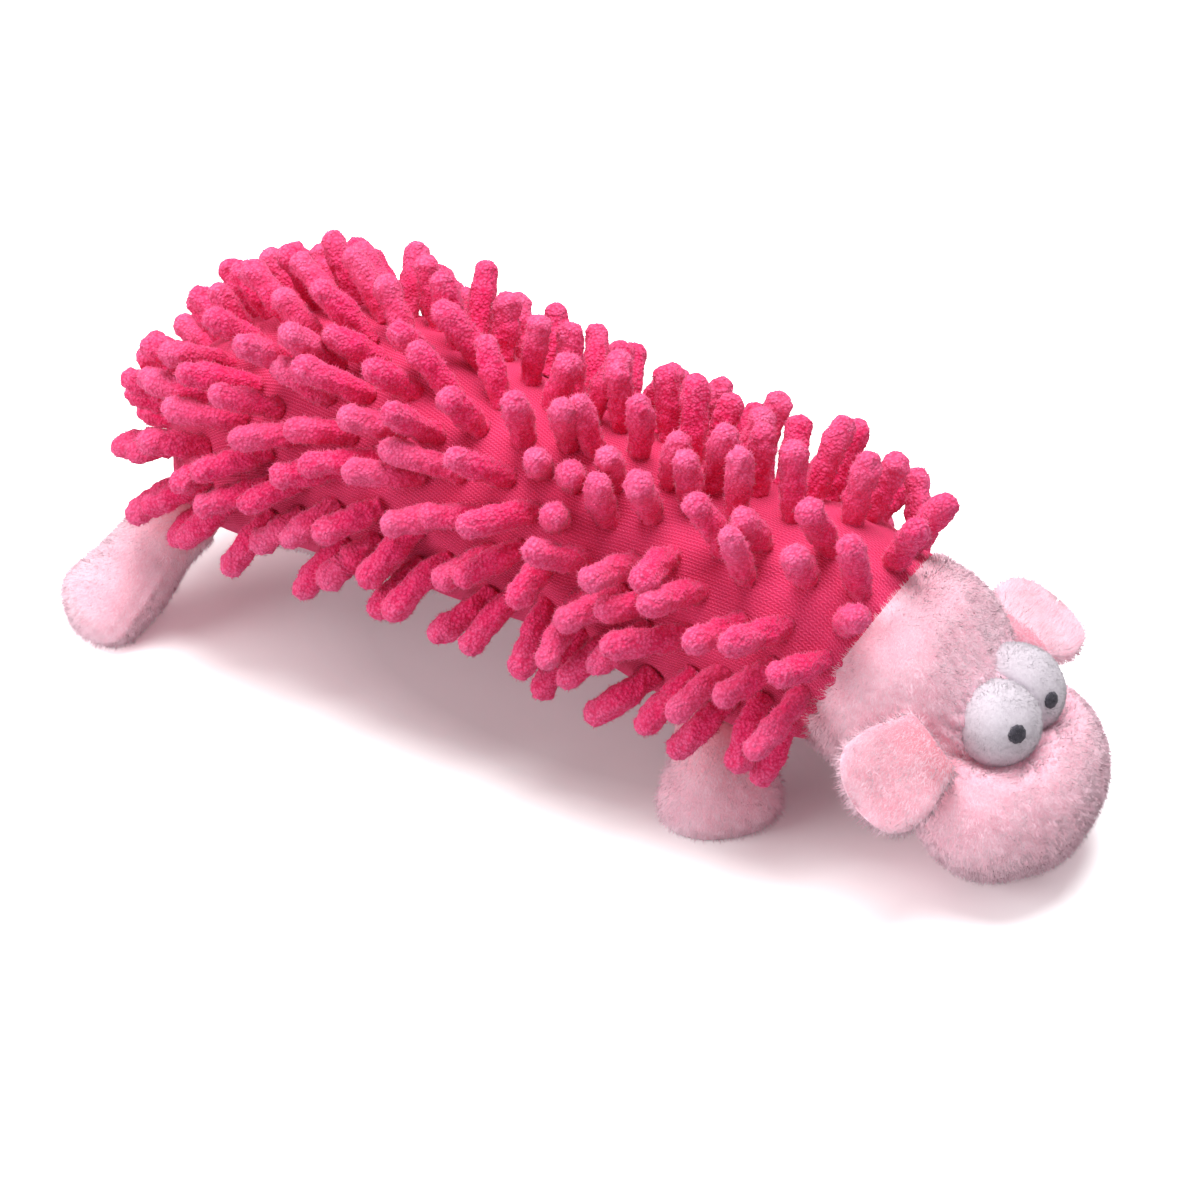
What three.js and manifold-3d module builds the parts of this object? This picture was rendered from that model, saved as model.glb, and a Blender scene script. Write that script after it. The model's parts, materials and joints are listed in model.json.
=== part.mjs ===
// Squeaky plush dog toy: a long stuffed body in a cover of chenille fingers, with a
// ball-jointed plush head, flap ears, round eyes, four stub legs and a squeaker inside.
// Millimetres. +X runs from the rump to the head, +Y is the toy's left, +Z is up.

import * as THREE from 'three';
import { mergeVertices } from 'three/addons/utils/BufferGeometryUtils.js';
import Module from 'manifold-3d';

const wasm = await Module();
wasm.setup();

const radians = THREE.MathUtils.degToRad;

// Body
const trunkLength = 277;
const trunkRadius = 45.5;
const trunkHeight = 62.5;
const trunkArch = 13.5;
const archRiseShare = 0.26;
const archFallShares = [0.4, 0.84];
const coverWall = 2.6;
const bellyStart = 34;
const bellyHalfAngle = radians(44);
const neckDrop = 2.1;
const waistShare = 0.628;
const waistRadiusShare = 0.835;
const waistBallShare = 1.07;
const neckRadiusShare = 0.95;
const neckSinkShare = 0.7;
const neckBendShare = 0.84;
const trunkProfileShares = [
  [0, 0],
  [0.012, 0.38],
  [0.055, 0.74],
  [0.13, 0.95],
  [0.24, 1],
  [0.4, 0.955],
  [0.53, 0.88],
  [waistShare, waistRadiusShare],
  [0.72, 0.86],
  [0.83, 0.885],
  [0.93, 0.85],
];

// Chenille fingers
const fingerLength = 25;
const fingerRadius = 4.4;
const fingerSpacing = 14.4;
const fingerSink = 3;
const fingerFirstRing = 6;
const fingerNeckBand = 10;
const fingerJitter = 2.2;
const fingerLowestAngle = radians(-16);
const fingerShoulderShare = 0.88;
const fingerNeckShare = 0.9;
const fingerLengthShare = 0.14;
const fingerRumpShare = 0.22;
const fingerScatterShare = 0.34;
const fingerDroopShare = 1;
const fingerDroopHeights = [-0.4, 0.95];
const rearLeanShares = [1.2, 0.62];
const rearLeanHeights = [0.55, 0.98];
const frontLeanShares = [0.65, 0.02];
const frontLeanHeights = [0.2, 0.85];
const leanChangeShares = [0.45, 0.72];
const waistLeanReach = 26;
const fingerLifts = 4;
const hashShares = [12.9898, 78.233, 37.719, 43758.5453];

// Head
const headPitch = radians(25);
const headBallRadius = 36;
const muzzleLength = 58;
const muzzleWidth = 81;
const muzzleDepth = 58.5;
const muzzleForward = 38.8;
const chinSeamShare = 0.3;
const headWall = 2.2;
const headOpeningShare = 0.6;

// Eyes
const eyeRadius = 13.4;
const eyeLengthShare = 0.93;
const eyeSpacing = 17.6;
const eyeForward = 36.6;
const eyeSinkShare = 0.1;
const eyeWall = 1.3;
const pupilRadius = 3.2;
const pupilWall = 0.7;
const pupilLift = 0.5;
const leftPupilShares = [0.78, -0.34, 0.52];
const rightPupilShares = [0.68, -0.58, 0.46];

// Ears
const earLength = 31;
const earWidth = 33;
const earLayer = 4.2;
const earCurl = 5;
const earAzimuth = radians(62);
const earElevation = radians(13);
const earSweep = radians(24);
const earDroop = radians(21);
const earRoll = radians(38);
const earAlongShares = [0, 0.12, 0.35, 0.62, 0.85, 0.97];
const earWidthShares = [0.6, 0.72, 0.92, 1, 0.84, 0.5];
const earPuffShares = [0.7, 0.85, 1, 1, 0.85, 0.5];

// Legs
const legWall = 2;
const legFlat = 0.5;
const legBallShare = 0.35;
const legLiftShare = 0.35;
const legKneeShare = 0.4;
const rearLeg = {
  alongShare: 0.06,
  rootAngle: radians(-40),
  lean: radians(-31),
  splay: radians(43),
  rootRadius: 13,
  footWidth: 40,
  footDepth: 28,
};
const frontLeg = {
  alongShare: 0.83,
  rootAngle: radians(-54),
  lean: radians(19),
  splay: radians(25),
  rootRadius: 14,
  footWidth: 41,
  footDepth: 26,
};

// Squeaker
const squeakerAlongShare = 0.3;
const squeakerRadius = 21;
const squeakerWall = 2;
const bellowsHeight = 14;
const bellowsWall = 1;
const bellowsFold = 2.2;
const bellowsFolds = 2;
const pressTravel = 6;
const barrelRadius = 4;
const barrelBore = 2.4;
const barrelFlange = 1.5;
const reedWidth = 3.4;
const reedThickness = 0.6;

// Movement and clearances
const waistBend = radians(12);
const legSwing = radians(15);
const seamGap = 0.3;
const ballGap = 0.9;
const legGap = 0.5;
const earGap = 0.7;
const fingerGap = 1.2;
const cutReach = 1000;

// Facet counts
const trunkSides = 16;
const trunkRings = 14;
const ringPaceShare = 1.25;
const liningSides = 12;
const liningRings = 9;
const ballSides = 24;
const headSides = 20;
const headLiningSides = 14;
const eyeSides = 16;
const legSides = 12;
const legDomeRings = 2;
const recessSides = 20;
const bellySections = 7;
const squeakerSides = 18;
const fingerSides = 3;
const profileSamples = 240;

// Vectors and frames
const vector = (x, y, z) => new THREE.Vector3(x, y, z);
const axisX = vector(1, 0, 0);
const axisY = vector(0, 1, 0);
const axisZ = vector(0, 0, 1);

function along(point, direction, distance) {
  return point.clone().addScaledVector(direction, distance);
}

function mirrored(point, side) {
  return vector(point.x, point.y * side, point.z);
}

// Solids from geometry, and geometry from solids
function signedVolume(position, index) {
  const a = vector();
  const b = vector();
  const c = vector();
  let total = 0;
  for (let i = 0; i < index.count; i += 3) {
    a.fromBufferAttribute(position, index.getX(i));
    b.fromBufferAttribute(position, index.getX(i + 1));
    c.fromBufferAttribute(position, index.getX(i + 2));
    total += a.dot(b.cross(c));
  }
  return total;
}

function solidOf(geometry) {
  const bare = geometry.clone();
  bare.deleteAttribute('normal');
  bare.deleteAttribute('uv');
  const welded = mergeVertices(bare);
  const triVerts = Uint32Array.from(welded.index.array);
  if (signedVolume(welded.attributes.position, welded.index) < 0) {
    triVerts.reverse();
  }
  const vertProperties = Float32Array.from(welded.attributes.position.array);
  return new wasm.Manifold(new wasm.Mesh({ numProp: 3, vertProperties, triVerts }));
}

function geometryOf(solid) {
  const mesh = solid.getMesh();
  const geometry = new THREE.BufferGeometry();
  geometry.setAttribute('position', new THREE.BufferAttribute(mesh.vertProperties, mesh.numProp));
  geometry.setIndex(new THREE.BufferAttribute(mesh.triVerts, 1));
  geometry.computeVertexNormals();
  return geometry;
}

function joined(solids) {
  return solids.reduce((whole, solid) => whole.add(solid));
}

// A closed body through rings of points, with a pole at each end
function loft(rings, startPole, endPole) {
  const sides = rings[0].length;
  const points = [...rings.flat(), startPole, endPole];
  const start = points.length - 2;
  const end = points.length - 1;
  const last = (rings.length - 1) * sides;
  const index = [];
  for (let j = 0; j < sides; j += 1) {
    const next = (j + 1) % sides;
    index.push(start, next, j);
    index.push(end, last + j, last + next);
    for (let i = 0; i < rings.length - 1; i += 1) {
      const here = i * sides;
      const beyond = here + sides;
      index.push(here + j, here + next, beyond + next);
      index.push(here + j, beyond + next, beyond + j);
    }
  }
  const geometry = new THREE.BufferGeometry().setFromPoints(points);
  geometry.setIndex(index);
  return solidOf(geometry);
}

function ring(centre, across, up, sides) {
  const points = [];
  for (let j = 0; j < sides; j += 1) {
    const angle = (j / sides) * 2 * Math.PI;
    const point = along(centre, across, Math.cos(angle));
    points.push(point.addScaledVector(up, Math.sin(angle)));
  }
  return points;
}

// Simple closed shapes
function ellipsoid(centre, halfX, halfY, halfZ, sides) {
  const geometry = new THREE.SphereGeometry(1, sides, sides / 2);
  geometry.scale(halfX, halfY, halfZ);
  geometry.translate(centre.x, centre.y, centre.z);
  return solidOf(geometry);
}

function ball(centre, radius, sides = ballSides) {
  return ellipsoid(centre, radius, radius, radius, sides);
}

function halfSpace(point, normal) {
  const geometry = new THREE.BoxGeometry(cutReach, cutReach, cutReach);
  geometry.translate(0, 0, cutReach / 2);
  geometry.applyQuaternion(new THREE.Quaternion().setFromUnitVectors(axisZ, normal));
  geometry.translate(point.x, point.y, point.z);
  return solidOf(geometry);
}

function turned(profile, centre) {
  const points = profile.map(([radius, height]) => new THREE.Vector2(radius, height));
  const geometry = new THREE.LatheGeometry([...points, points[0]], squeakerSides);
  geometry.rotateX(Math.PI / 2);
  geometry.translate(centre.x, centre.y, centre.z);
  return solidOf(geometry);
}

// Body shape: a profile of length and radius, round a spine that arches over the rear
// half and dips at the neck
function spineHeight(share) {
  const [fallStart, fallEnd] = archFallShares;
  const rise = THREE.MathUtils.smoothstep(share, 0, archRiseShare);
  const fall = THREE.MathUtils.smoothstep(share, fallStart, fallEnd);
  return trunkHeight + trunkArch * rise * (1 - fall) - neckDrop * neckBend(share) ** 2;
}

function neckBend(share) {
  return THREE.MathUtils.smoothstep(share, neckBendShare, 1);
}

const neckRadius = neckRadiusShare * headBallRadius;
const neckSink = neckSinkShare * Math.sqrt(headBallRadius ** 2 - neckRadius ** 2);
const neckEnd = vector(trunkLength, 0, spineHeight(1));
const neckAxis = vector(Math.cos(headPitch), 0, -Math.sin(headPitch));
const headCentre = along(neckEnd, neckAxis, neckSink);
const waistCentre = vector(waistShare * trunkLength, 0, spineHeight(waistShare));
const waistRadius = waistRadiusShare * trunkRadius;
const waistBall = waistBallShare * waistRadius;

const profile = new THREE.SplineCurve([
  ...trunkProfileShares.map(([length, radius]) => (
    new THREE.Vector2(length * trunkLength, radius * trunkRadius)
  )),
  new THREE.Vector2(trunkLength, neckRadius),
]);
const profilePoints = profile.getSpacedPoints(profileSamples);
const profileArc = profile.getLength();

function arcAt(distance) {
  const sample = profilePoints.findIndex((point) => point.x >= distance);
  return (sample / profileSamples) * profileArc;
}

function trunkSection(arc) {
  const point = profile.getPointAt(Math.min(arc / profileArc, 1));
  const share = point.x / trunkLength;
  const pitch = headPitch * neckBend(share);
  const centre = vector(point.x, 0, spineHeight(share));
  return { centre, radius: point.y, up: vector(Math.sin(pitch), 0, Math.cos(pitch)) };
}

function trunkPoint(arc, angle) {
  const { centre, radius, up } = trunkSection(arc);
  const point = along(centre, axisY, radius * Math.cos(angle));
  return point.addScaledVector(up, radius * Math.sin(angle));
}

function trunkNormal(arc, angle) {
  const step = fingerSink;
  const turn = step / trunkRadius;
  const forward = trunkPoint(arc + step, angle).sub(trunkPoint(arc - step, angle));
  const around = trunkPoint(arc, angle + turn).sub(trunkPoint(arc, angle - turn));
  return around.cross(forward).normalize();
}

// The body shape, drawn in by an inset all over
function trunkForm(inset, sides, rings) {
  const sections = [];
  for (let i = 1; i <= rings; i += 1) {
    const { centre, radius, up } = trunkSection(profileArc * (i / rings) ** ringPaceShare);
    const shrink = Math.max(radius - inset, 0);
    const shift = inset * (1 - centre.x / trunkLength);
    const middle = along(centre, axisX, shift);
    sections.push(ring(middle, axisY.clone().multiplyScalar(shrink), up.multiplyScalar(shrink), sides));
  }
  return loft(sections, vector(inset, 0, spineHeight(0)), neckEnd);
}

// A wedge below the spine that the belly panel fills
function bellyWedge(gap) {
  const start = bellyStart - gap;
  const depth = 2 * trunkRadius;
  const spread = Math.tan(bellyHalfAngle) * depth;
  const sections = [];
  for (let i = 0; i <= bellySections; i += 1) {
    const x = start + (i / bellySections) * trunkLength;
    const apex = spineHeight(x / trunkLength) + gap / Math.sin(bellyHalfAngle);
    sections.push([
      vector(x, 0, apex),
      vector(x, -spread, apex - depth),
      vector(x, spread, apex - depth),
    ]);
  }
  const low = (section) => vector(section[0].x, 0, section[1].z);
  return loft(sections, low(sections[0]), low(sections.at(-1)));
}

// Legs: a round root that turns in the body, swelling to a foot that is flat on the floor
function legFrame(leg, side) {
  const arc = arcAt(leg.alongShare * trunkLength);
  const normal = trunkNormal(arc, leg.rootAngle);
  const seat = along(trunkPoint(arc, leg.rootAngle), normal, legLiftShare * leg.rootRadius);
  const pivot = mirrored(seat, side);
  const direction = vector(Math.tan(leg.lean), side * Math.tan(leg.splay), -1).normalize();
  const across = direction.clone().cross(axisZ).normalize();
  const up = across.clone().cross(direction).normalize();
  const frame = { leg, pivot, direction, across, up, length: pivot.z };
  const lowest = Math.min(...legSections(frame, 0).flat().map((point) => point.z));
  frame.length += (lowest + legFlat) / -direction.z;
  return frame;
}

function legSections(frame, inset) {
  const { leg, pivot, direction, across, up, length } = frame;
  const root = leg.rootRadius - inset;
  const wide = leg.footWidth / 2 - inset;
  const deep = leg.footDepth / 2 - inset;
  const sections = [];
  const section = (distance, halfWidth, halfDepth) => {
    const centre = along(pivot, direction, distance);
    const side = across.clone().multiplyScalar(halfWidth);
    sections.push(ring(centre, up.clone().multiplyScalar(halfDepth), side, legSides));
  };
  const mouth = root * Math.sqrt(1 - legBallShare ** 2);
  section(-root * legBallShare, mouth, mouth);
  section(0, root, root);
  section(length * legKneeShare, root, root);
  for (let i = legDomeRings; i >= 1; i -= 1) {
    const angle = (i / legDomeRings) * (Math.PI / 2);
    section(length + deep * Math.cos(angle), wide * Math.sin(angle), deep * Math.sin(angle));
  }
  return sections;
}

function legForm(frame, inset) {
  const { leg, pivot, direction, length } = frame;
  const start = along(pivot, direction, inset - leg.rootRadius);
  const end = along(pivot, direction, length + leg.footDepth / 2 - inset);
  const solid = loft(legSections(frame, inset), start, end);
  return solid.subtract(halfSpace(vector(0, 0, inset), axisZ.clone().negate()));
}

function legCover(frame) {
  const { leg, pivot, direction } = frame;
  const shell = legForm(frame, 0).subtract(legForm(frame, legWall));
  const mouth = along(pivot, direction, -legBallShare * leg.rootRadius);
  return shell.subtract(halfSpace(mouth, direction.clone().negate()));
}

const legFrames = {
  rear_left: legFrame(rearLeg, 1),
  rear_right: legFrame(rearLeg, -1),
  front_left: legFrame(frontLeg, 1),
  front_right: legFrame(frontLeg, -1),
};

const legRecesses = joined(Object.values(legFrames).map(({ leg, pivot }) => (
  ball(pivot, leg.rootRadius + legGap, recessSides)
)));

// Chenille fingers, in rows round the body
function scatter(row, column, channel) {
  const [rowShare, columnShare, channelShare, spread] = hashShares;
  const value = Math.sin(row * rowShare + column * columnShare + channel * channelShare) * spread;
  return (value - Math.floor(value)) * 2 - 1;
}

function fingerShape(base, normal, direction, length) {
  const rings = [];
  const tilt = new THREE.Quaternion().setFromUnitVectors(normal, direction);
  const across = axisX.clone().cross(normal).normalize();
  const up = normal.clone().cross(across);
  const radius = fingerRadius;
  const foot = along(base, normal, -fingerSink);
  const footAcross = across.clone().multiplyScalar(radius * fingerNeckShare);
  const footUp = up.clone().multiplyScalar(radius * fingerNeckShare);
  rings.push(ring(foot, footAcross, footUp, fingerSides));
  const shoulder = along(base, direction, length * fingerShoulderShare);
  const tipAcross = across.clone().applyQuaternion(tilt).multiplyScalar(radius);
  const tipUp = up.clone().applyQuaternion(tilt).multiplyScalar(radius);
  rings.push(ring(shoulder, tipAcross, tipUp, fingerSides));
  return loft(rings, foot, along(base, direction, length));
}

function legDistance(base, tip) {
  const finger = new THREE.Line3(base, tip);
  const spot = vector();
  let least = Infinity;
  Object.values(legFrames).forEach(({ leg, pivot, direction, length }) => {
    [-legSwing, 0, legSwing].forEach((swing) => {
      const line = direction.clone().applyAxisAngle(axisY, swing);
      for (let i = 0; i <= legSides; i += 1) {
        const share = i / legSides;
        const point = along(pivot, line, share * length);
        const reach = THREE.MathUtils.lerp(leg.rootRadius, leg.footWidth / 2, share);
        finger.closestPointToPoint(point, true, spot);
        least = Math.min(least, spot.distanceTo(point) - reach);
      }
    });
  });
  return least;
}

// How far the fingers are combed to the rear, for the height that the surface faces
function combing(height, [flank, top], [low, high]) {
  const share = THREE.MathUtils.smoothstep(height, low, high);
  return THREE.MathUtils.lerp(flank, top, share);
}

function fingerLean(arc, height) {
  const change = THREE.MathUtils.smoothstep(arc / profileArc, ...leanChangeShares);
  const rear = combing(height, rearLeanShares, rearLeanHeights);
  const front = combing(height, frontLeanShares, frontLeanHeights);
  return THREE.MathUtils.lerp(rear, front, change);
}

function finger(row, column, arc, angle, freedom) {
  const base = trunkPoint(arc, angle);
  const normal = trunkNormal(arc, angle);
  const variation = 1 + fingerLengthShare * scatter(row, column, 0);
  const length = fingerLength * variation * (1 - fingerRumpShare * Math.abs(normal.x));
  const aside = 1 - Math.abs(normal.x);
  const direction = normal.clone();
  direction.x -= fingerLean(arc, normal.z) * aside * freedom;
  direction.x += fingerScatterShare * scatter(row, column, 1);
  const sway = fingerScatterShare * scatter(row, column, 2);
  direction.addScaledVector(normal.clone().cross(axisX), sway);
  const droop = 1 - THREE.MathUtils.smoothstep(normal.z, ...fingerDroopHeights);
  direction.z -= fingerDroopShare * droop * aside;
  direction.normalize();
  for (let i = 0; i <= fingerLifts; i += 1) {
    const aim = direction.clone().lerp(normal, i / fingerLifts).normalize();
    if (legDistance(base, along(base, aim, length)) > fingerRadius + fingerGap) {
      return [fingerShape(base, normal, aim, length)];
    }
  }
  return [];
}

function fingerRow(row, arc, from, to, freedom) {
  const sweep = Math.PI / 2 - fingerLowestAngle;
  const { radius } = trunkSection(arc);
  const count = Math.max(Math.round((sweep * radius) / fingerSpacing), 1);
  const stagger = (row % 2) / 2;
  const fingers = [];
  const place = (column) => {
    const shifted = arc + fingerJitter * scatter(row, column, 3);
    const spot = THREE.MathUtils.clamp(shifted, from, to);
    const turn = (column * sweep) / count + (fingerJitter / radius) * scatter(row, column, 4);
    fingers.push(...finger(row, column, spot, Math.PI / 2 - turn, freedom));
  };
  for (let column = stagger; column <= count - stagger; column += 1) {
    place(column);
    if (column > 0) {
      place(-column);
    }
  }
  return fingers;
}

function fingerRows(firstRow, from, to, freedomAt) {
  const count = Math.round((to - from) / fingerSpacing);
  const fingers = [];
  for (let i = 0; i <= count; i += 1) {
    const arc = from + (i / count) * (to - from);
    fingers.push(...fingerRow(firstRow + i, arc, from, to, freedomAt(arc)));
  }
  return joined(fingers);
}

const waistRim = Math.sqrt((waistBall + ballGap) ** 2 - waistRadius ** 2);
const rearFingersEnd = arcAt(waistCentre.x - waistRim - fingerRadius - fingerGap);
const bendLoss = (trunkRadius * Math.sin(waistBend) + fingerRadius - waistRim) / Math.cos(waistBend);
const frontFingersStart = arcAt(waistCentre.x + bendLoss + fingerGap);
const frontFingersEnd = profileArc - fingerNeckBand;
const frontRowStart = Math.round(rearFingersEnd / fingerSpacing) + 1;

function rearFingers() {
  const fingers = fingerRows(0, fingerFirstRing, rearFingersEnd, () => 1);
  return fingers.subtract(lining).subtract(waistSocket);
}

function frontFingers() {
  const fingers = fingerRows(frontRowStart, frontFingersStart, frontFingersEnd, (arc) => (
    Math.min((arc - frontFingersStart) / waistLeanReach, 1)
  ));
  return fingers.subtract(lining).subtract(headSocket);
}

// Body pieces on each side of the waist and clear of the head and the legs
const headSocket = ball(headCentre, headBallRadius + ballGap);
const waistSocket = ball(waistCentre, waistBall + ballGap);
const ahead = halfSpace(waistCentre, axisX);
const frontRegion = ahead.add(ball(waistCentre, waistBall));
const hollows = legRecesses.add(headSocket);

function rearPart(solid) {
  return solid.subtract(ahead).subtract(waistSocket).subtract(hollows);
}

function frontPart(solid) {
  return solid.intersect(frontRegion).subtract(hollows);
}

const lining = trunkForm(coverWall, liningSides, liningRings);
const bodyShell = trunkForm(0, trunkSides, trunkRings).subtract(lining);
const upperShell = bodyShell.subtract(bellyWedge(seamGap));
const bellyShell = bodyShell.intersect(bellyWedge(0));
const stuffing = trunkForm(coverWall + seamGap, liningSides, liningRings);

// Squeaker, and the pocket for it between the two halves of the rear stuffing
const squeakerHeight = 2 * squeakerWall + bellowsHeight + 2 * seamGap;
const squeakerMiddle = spineHeight(squeakerAlongShare);
const squeakerBase = vector(
  squeakerAlongShare * trunkLength,
  0,
  squeakerMiddle - squeakerHeight / 2,
);
const squeakerPocket = turned([
  [0, -seamGap],
  [squeakerRadius + ballGap, -seamGap],
  [squeakerRadius + ballGap, squeakerHeight + seamGap],
  [0, squeakerHeight + seamGap],
], squeakerBase);

function rearStuffing(side) {
  const split = vector(0, 0, squeakerMiddle + (side * seamGap) / 2);
  const other = halfSpace(split, axisZ.clone().multiplyScalar(-side));
  return rearPart(stuffing).subtract(other).subtract(squeakerPocket);
}

function squeakerDish() {
  const hole = barrelRadius + seamGap;
  return turned([
    [hole, 0],
    [squeakerRadius, 0],
    [squeakerRadius, squeakerWall],
    [hole, squeakerWall],
  ], squeakerBase);
}

function squeakerLid() {
  const low = squeakerHeight - squeakerWall;
  return turned([
    [0, low],
    [squeakerRadius, low],
    [squeakerRadius - squeakerWall, squeakerHeight],
    [0, squeakerHeight],
  ], squeakerBase);
}

function squeakerBellows() {
  const low = squeakerWall + seamGap;
  const outer = [];
  for (let i = 0; i <= 2 * bellowsFolds; i += 1) {
    const radius = squeakerRadius - (i % 2) * bellowsFold;
    outer.push([radius, low + (i / (2 * bellowsFolds)) * bellowsHeight]);
  }
  const inner = outer.map(([radius, height]) => [radius - bellowsWall, height]).reverse();
  return turned([...outer, ...inner], squeakerBase);
}

function reedBarrel() {
  const top = squeakerWall + seamGap + bellowsHeight - pressTravel - squeakerWall;
  const flangeLow = squeakerWall + seamGap;
  const flangeTop = flangeLow + squeakerWall / 2;
  return turned([
    [barrelBore, 0],
    [barrelRadius, 0],
    [barrelRadius, flangeLow],
    [barrelRadius + barrelFlange, flangeLow],
    [barrelRadius + barrelFlange, flangeTop],
    [barrelRadius, flangeTop],
    [barrelRadius, top],
    [barrelBore, top],
  ], squeakerBase);
}

function reedBlade() {
  const top = squeakerWall + bellowsHeight - pressTravel - 2 * squeakerWall;
  const geometry = new THREE.BoxGeometry(reedWidth, reedThickness, top);
  geometry.translate(squeakerBase.x, squeakerBase.y, squeakerBase.z + top / 2 + seamGap);
  return solidOf(geometry);
}

// Head: a ball that turns in the neck, and a broad muzzle that rests on the floor
const muzzleCentre = vector(headCentre.x + muzzleForward, 0, muzzleDepth / 2 - legFlat);

function skullForm(inset) {
  return ball(headCentre, headBallRadius - inset, inset > 0 ? headLiningSides : headSides);
}

function muzzleForm(inset) {
  const half = (size) => size / 2 - inset;
  const form = ellipsoid(
    muzzleCentre,
    half(muzzleLength),
    half(muzzleWidth),
    half(muzzleDepth),
    inset > 0 ? headLiningSides : headSides,
  );
  return form.subtract(halfSpace(vector(0, 0, Math.max(inset, 0)), axisZ.clone().negate()));
}

function headForm(inset) {
  return skullForm(inset).add(muzzleForm(inset));
}

function foreheadPanel() {
  const shell = skullForm(0).subtract(skullForm(headWall));
  const mouth = along(headCentre, neckAxis, -headOpeningShare * headBallRadius);
  const neck = halfSpace(mouth, neckAxis.clone().negate());
  return shell.subtract(neck).subtract(muzzleForm(-seamGap));
}

function muzzleShell() {
  return muzzleForm(0).subtract(muzzleForm(headWall)).subtract(skullForm(headWall));
}

const chinSeam = chinSeamShare * muzzleDepth;

function muzzlePanel() {
  const below = halfSpace(vector(0, 0, chinSeam + seamGap / 2), axisZ.clone().negate());
  return muzzleShell().subtract(below);
}

function chinPanel() {
  return muzzleShell().subtract(halfSpace(vector(0, 0, chinSeam - seamGap / 2), axisZ));
}

// Eyes: two balls pressed against each other in the dip behind the muzzle
function eyeCentre(side) {
  const top = muzzleDepth - legFlat - eyeSinkShare * eyeRadius;
  return vector(headCentre.x + eyeForward, (side * eyeSpacing) / 2, top);
}

function eyeForm(side, inset) {
  const radius = eyeRadius - inset;
  return ellipsoid(eyeCentre(side), radius * eyeLengthShare, radius, radius, eyeSides);
}

function eyeClear(side, solid) {
  const middle = vector(0, (side * seamGap) / 2, 0);
  const other = halfSpace(middle, axisY.clone().multiplyScalar(-side));
  return solid.subtract(other).subtract(headForm(-seamGap));
}

function eyeCover(side) {
  return eyeClear(side, eyeForm(side, 0).subtract(eyeForm(side, eyeWall)));
}

function eyeStuffing(side) {
  return eyeClear(side, eyeForm(side, eyeWall + seamGap));
}

function pupil(side) {
  const direction = vector(...(side > 0 ? leftPupilShares : rightPupilShares)).normalize();
  const skin = eyeForm(side, -pupilLift - pupilWall).subtract(eyeForm(side, -pupilLift));
  const centre = along(eyeCentre(side), direction, eyeRadius);
  return eyeClear(side, skin.intersect(ball(centre, pupilRadius, eyeSides)));
}

// Ears: two cupped layers each, hinged along the root edge, whose rear corner is on the head
function earFrame(side) {
  const level = Math.cos(earElevation);
  const outward = vector(
    level * Math.cos(earAzimuth),
    side * level * Math.sin(earAzimuth),
    Math.sin(earElevation),
  );
  const seat = along(headCentre, outward, headBallRadius + earLayer / 4 + earGap);
  const direction = vector(
    -Math.sin(earSweep),
    side * Math.cos(earSweep) * Math.cos(earDroop),
    -Math.sin(earDroop),
  ).normalize();
  const up = axisX.clone().cross(direction).multiplyScalar(side).normalize();
  const roll = new THREE.Quaternion().setFromAxisAngle(direction, side * earRoll);
  up.applyQuaternion(roll);
  const across = direction.clone().cross(up).multiplyScalar(side);
  const pivot = along(seat, across, (earWidthShares[0] * earWidth) / 2);
  return { pivot, direction, across, up };
}

function earLayerShape(frame, side, lift) {
  const { pivot, direction, across, up } = frame;
  const steps = eyeSides;
  const sections = earAlongShares.map((share, i) => {
    const half = (earWidthShares[i] * earWidth) / 2;
    const thick = earPuffShares[i] * earLayer;
    const rise = share * earCurl;
    const points = [];
    for (let j = 0; j < steps; j += 1) {
      const angle = side * (j / steps) * 2 * Math.PI;
      const aside = Math.cos(angle);
      const middle = rise * aside ** 2 + (lift * (thick + seamGap)) / 2;
      const point = along(pivot, direction, share * earLength);
      point.addScaledVector(across, aside * half);
      points.push(point.addScaledVector(up, middle + (thick / 2) * Math.sin(angle)));
    }
    return points;
  });
  const pole = (section) => {
    const total = vector(0, 0, 0);
    section.forEach((point) => total.add(point));
    return total.divideScalar(section.length);
  };
  const tip = along(pole(sections.at(-1)), direction, earLength * (1 - earAlongShares.at(-1)));
  return loft(sections, pole(sections[0]), tip);
}

// Materials
function fabric(color, roughness) {
  return new THREE.MeshStandardMaterial({ color, roughness, metalness: 0 });
}

const chenillePink = () => fabric(0xf23d86, 0.95);
const plushPink = () => fabric(0xf6b9cf, 0.95);
const bellyPink = () => fabric(0xf3adc7, 0.95);
const eyeWhite = () => fabric(0xf1eff6, 0.85);
const pupilGrey = () => fabric(0x3c3c46, 0.8);
const fibreWhite = () => fabric(0xf7f7f2, 1);
const squeakerPlastic = () => fabric(0xe9ecee, 0.35);
const reedPlastic = () => fabric(0xc9ced6, 0.3);

// Scene graph: a group at each pivot, with its pieces placed from that pivot
function pivotGroup(parent, pivot) {
  const group = new THREE.Group();
  group.userData.pivot = pivot;
  group.position.copy(pivot).sub(parent.userData.pivot);
  parent.add(group);
  return group;
}

function addPiece(group, name, solid, material) {
  const { pivot } = group.userData;
  const geometry = geometryOf(solid);
  geometry.computeBoundingBox();
  const centre = geometry.boundingBox.getCenter(vector());
  geometry.translate(-centre.x, -centre.y, -centre.z);
  const mesh = new THREE.Mesh(geometry, material);
  mesh.name = name;
  mesh.position.copy(centre).sub(pivot);
  group.add(mesh);
}

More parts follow.
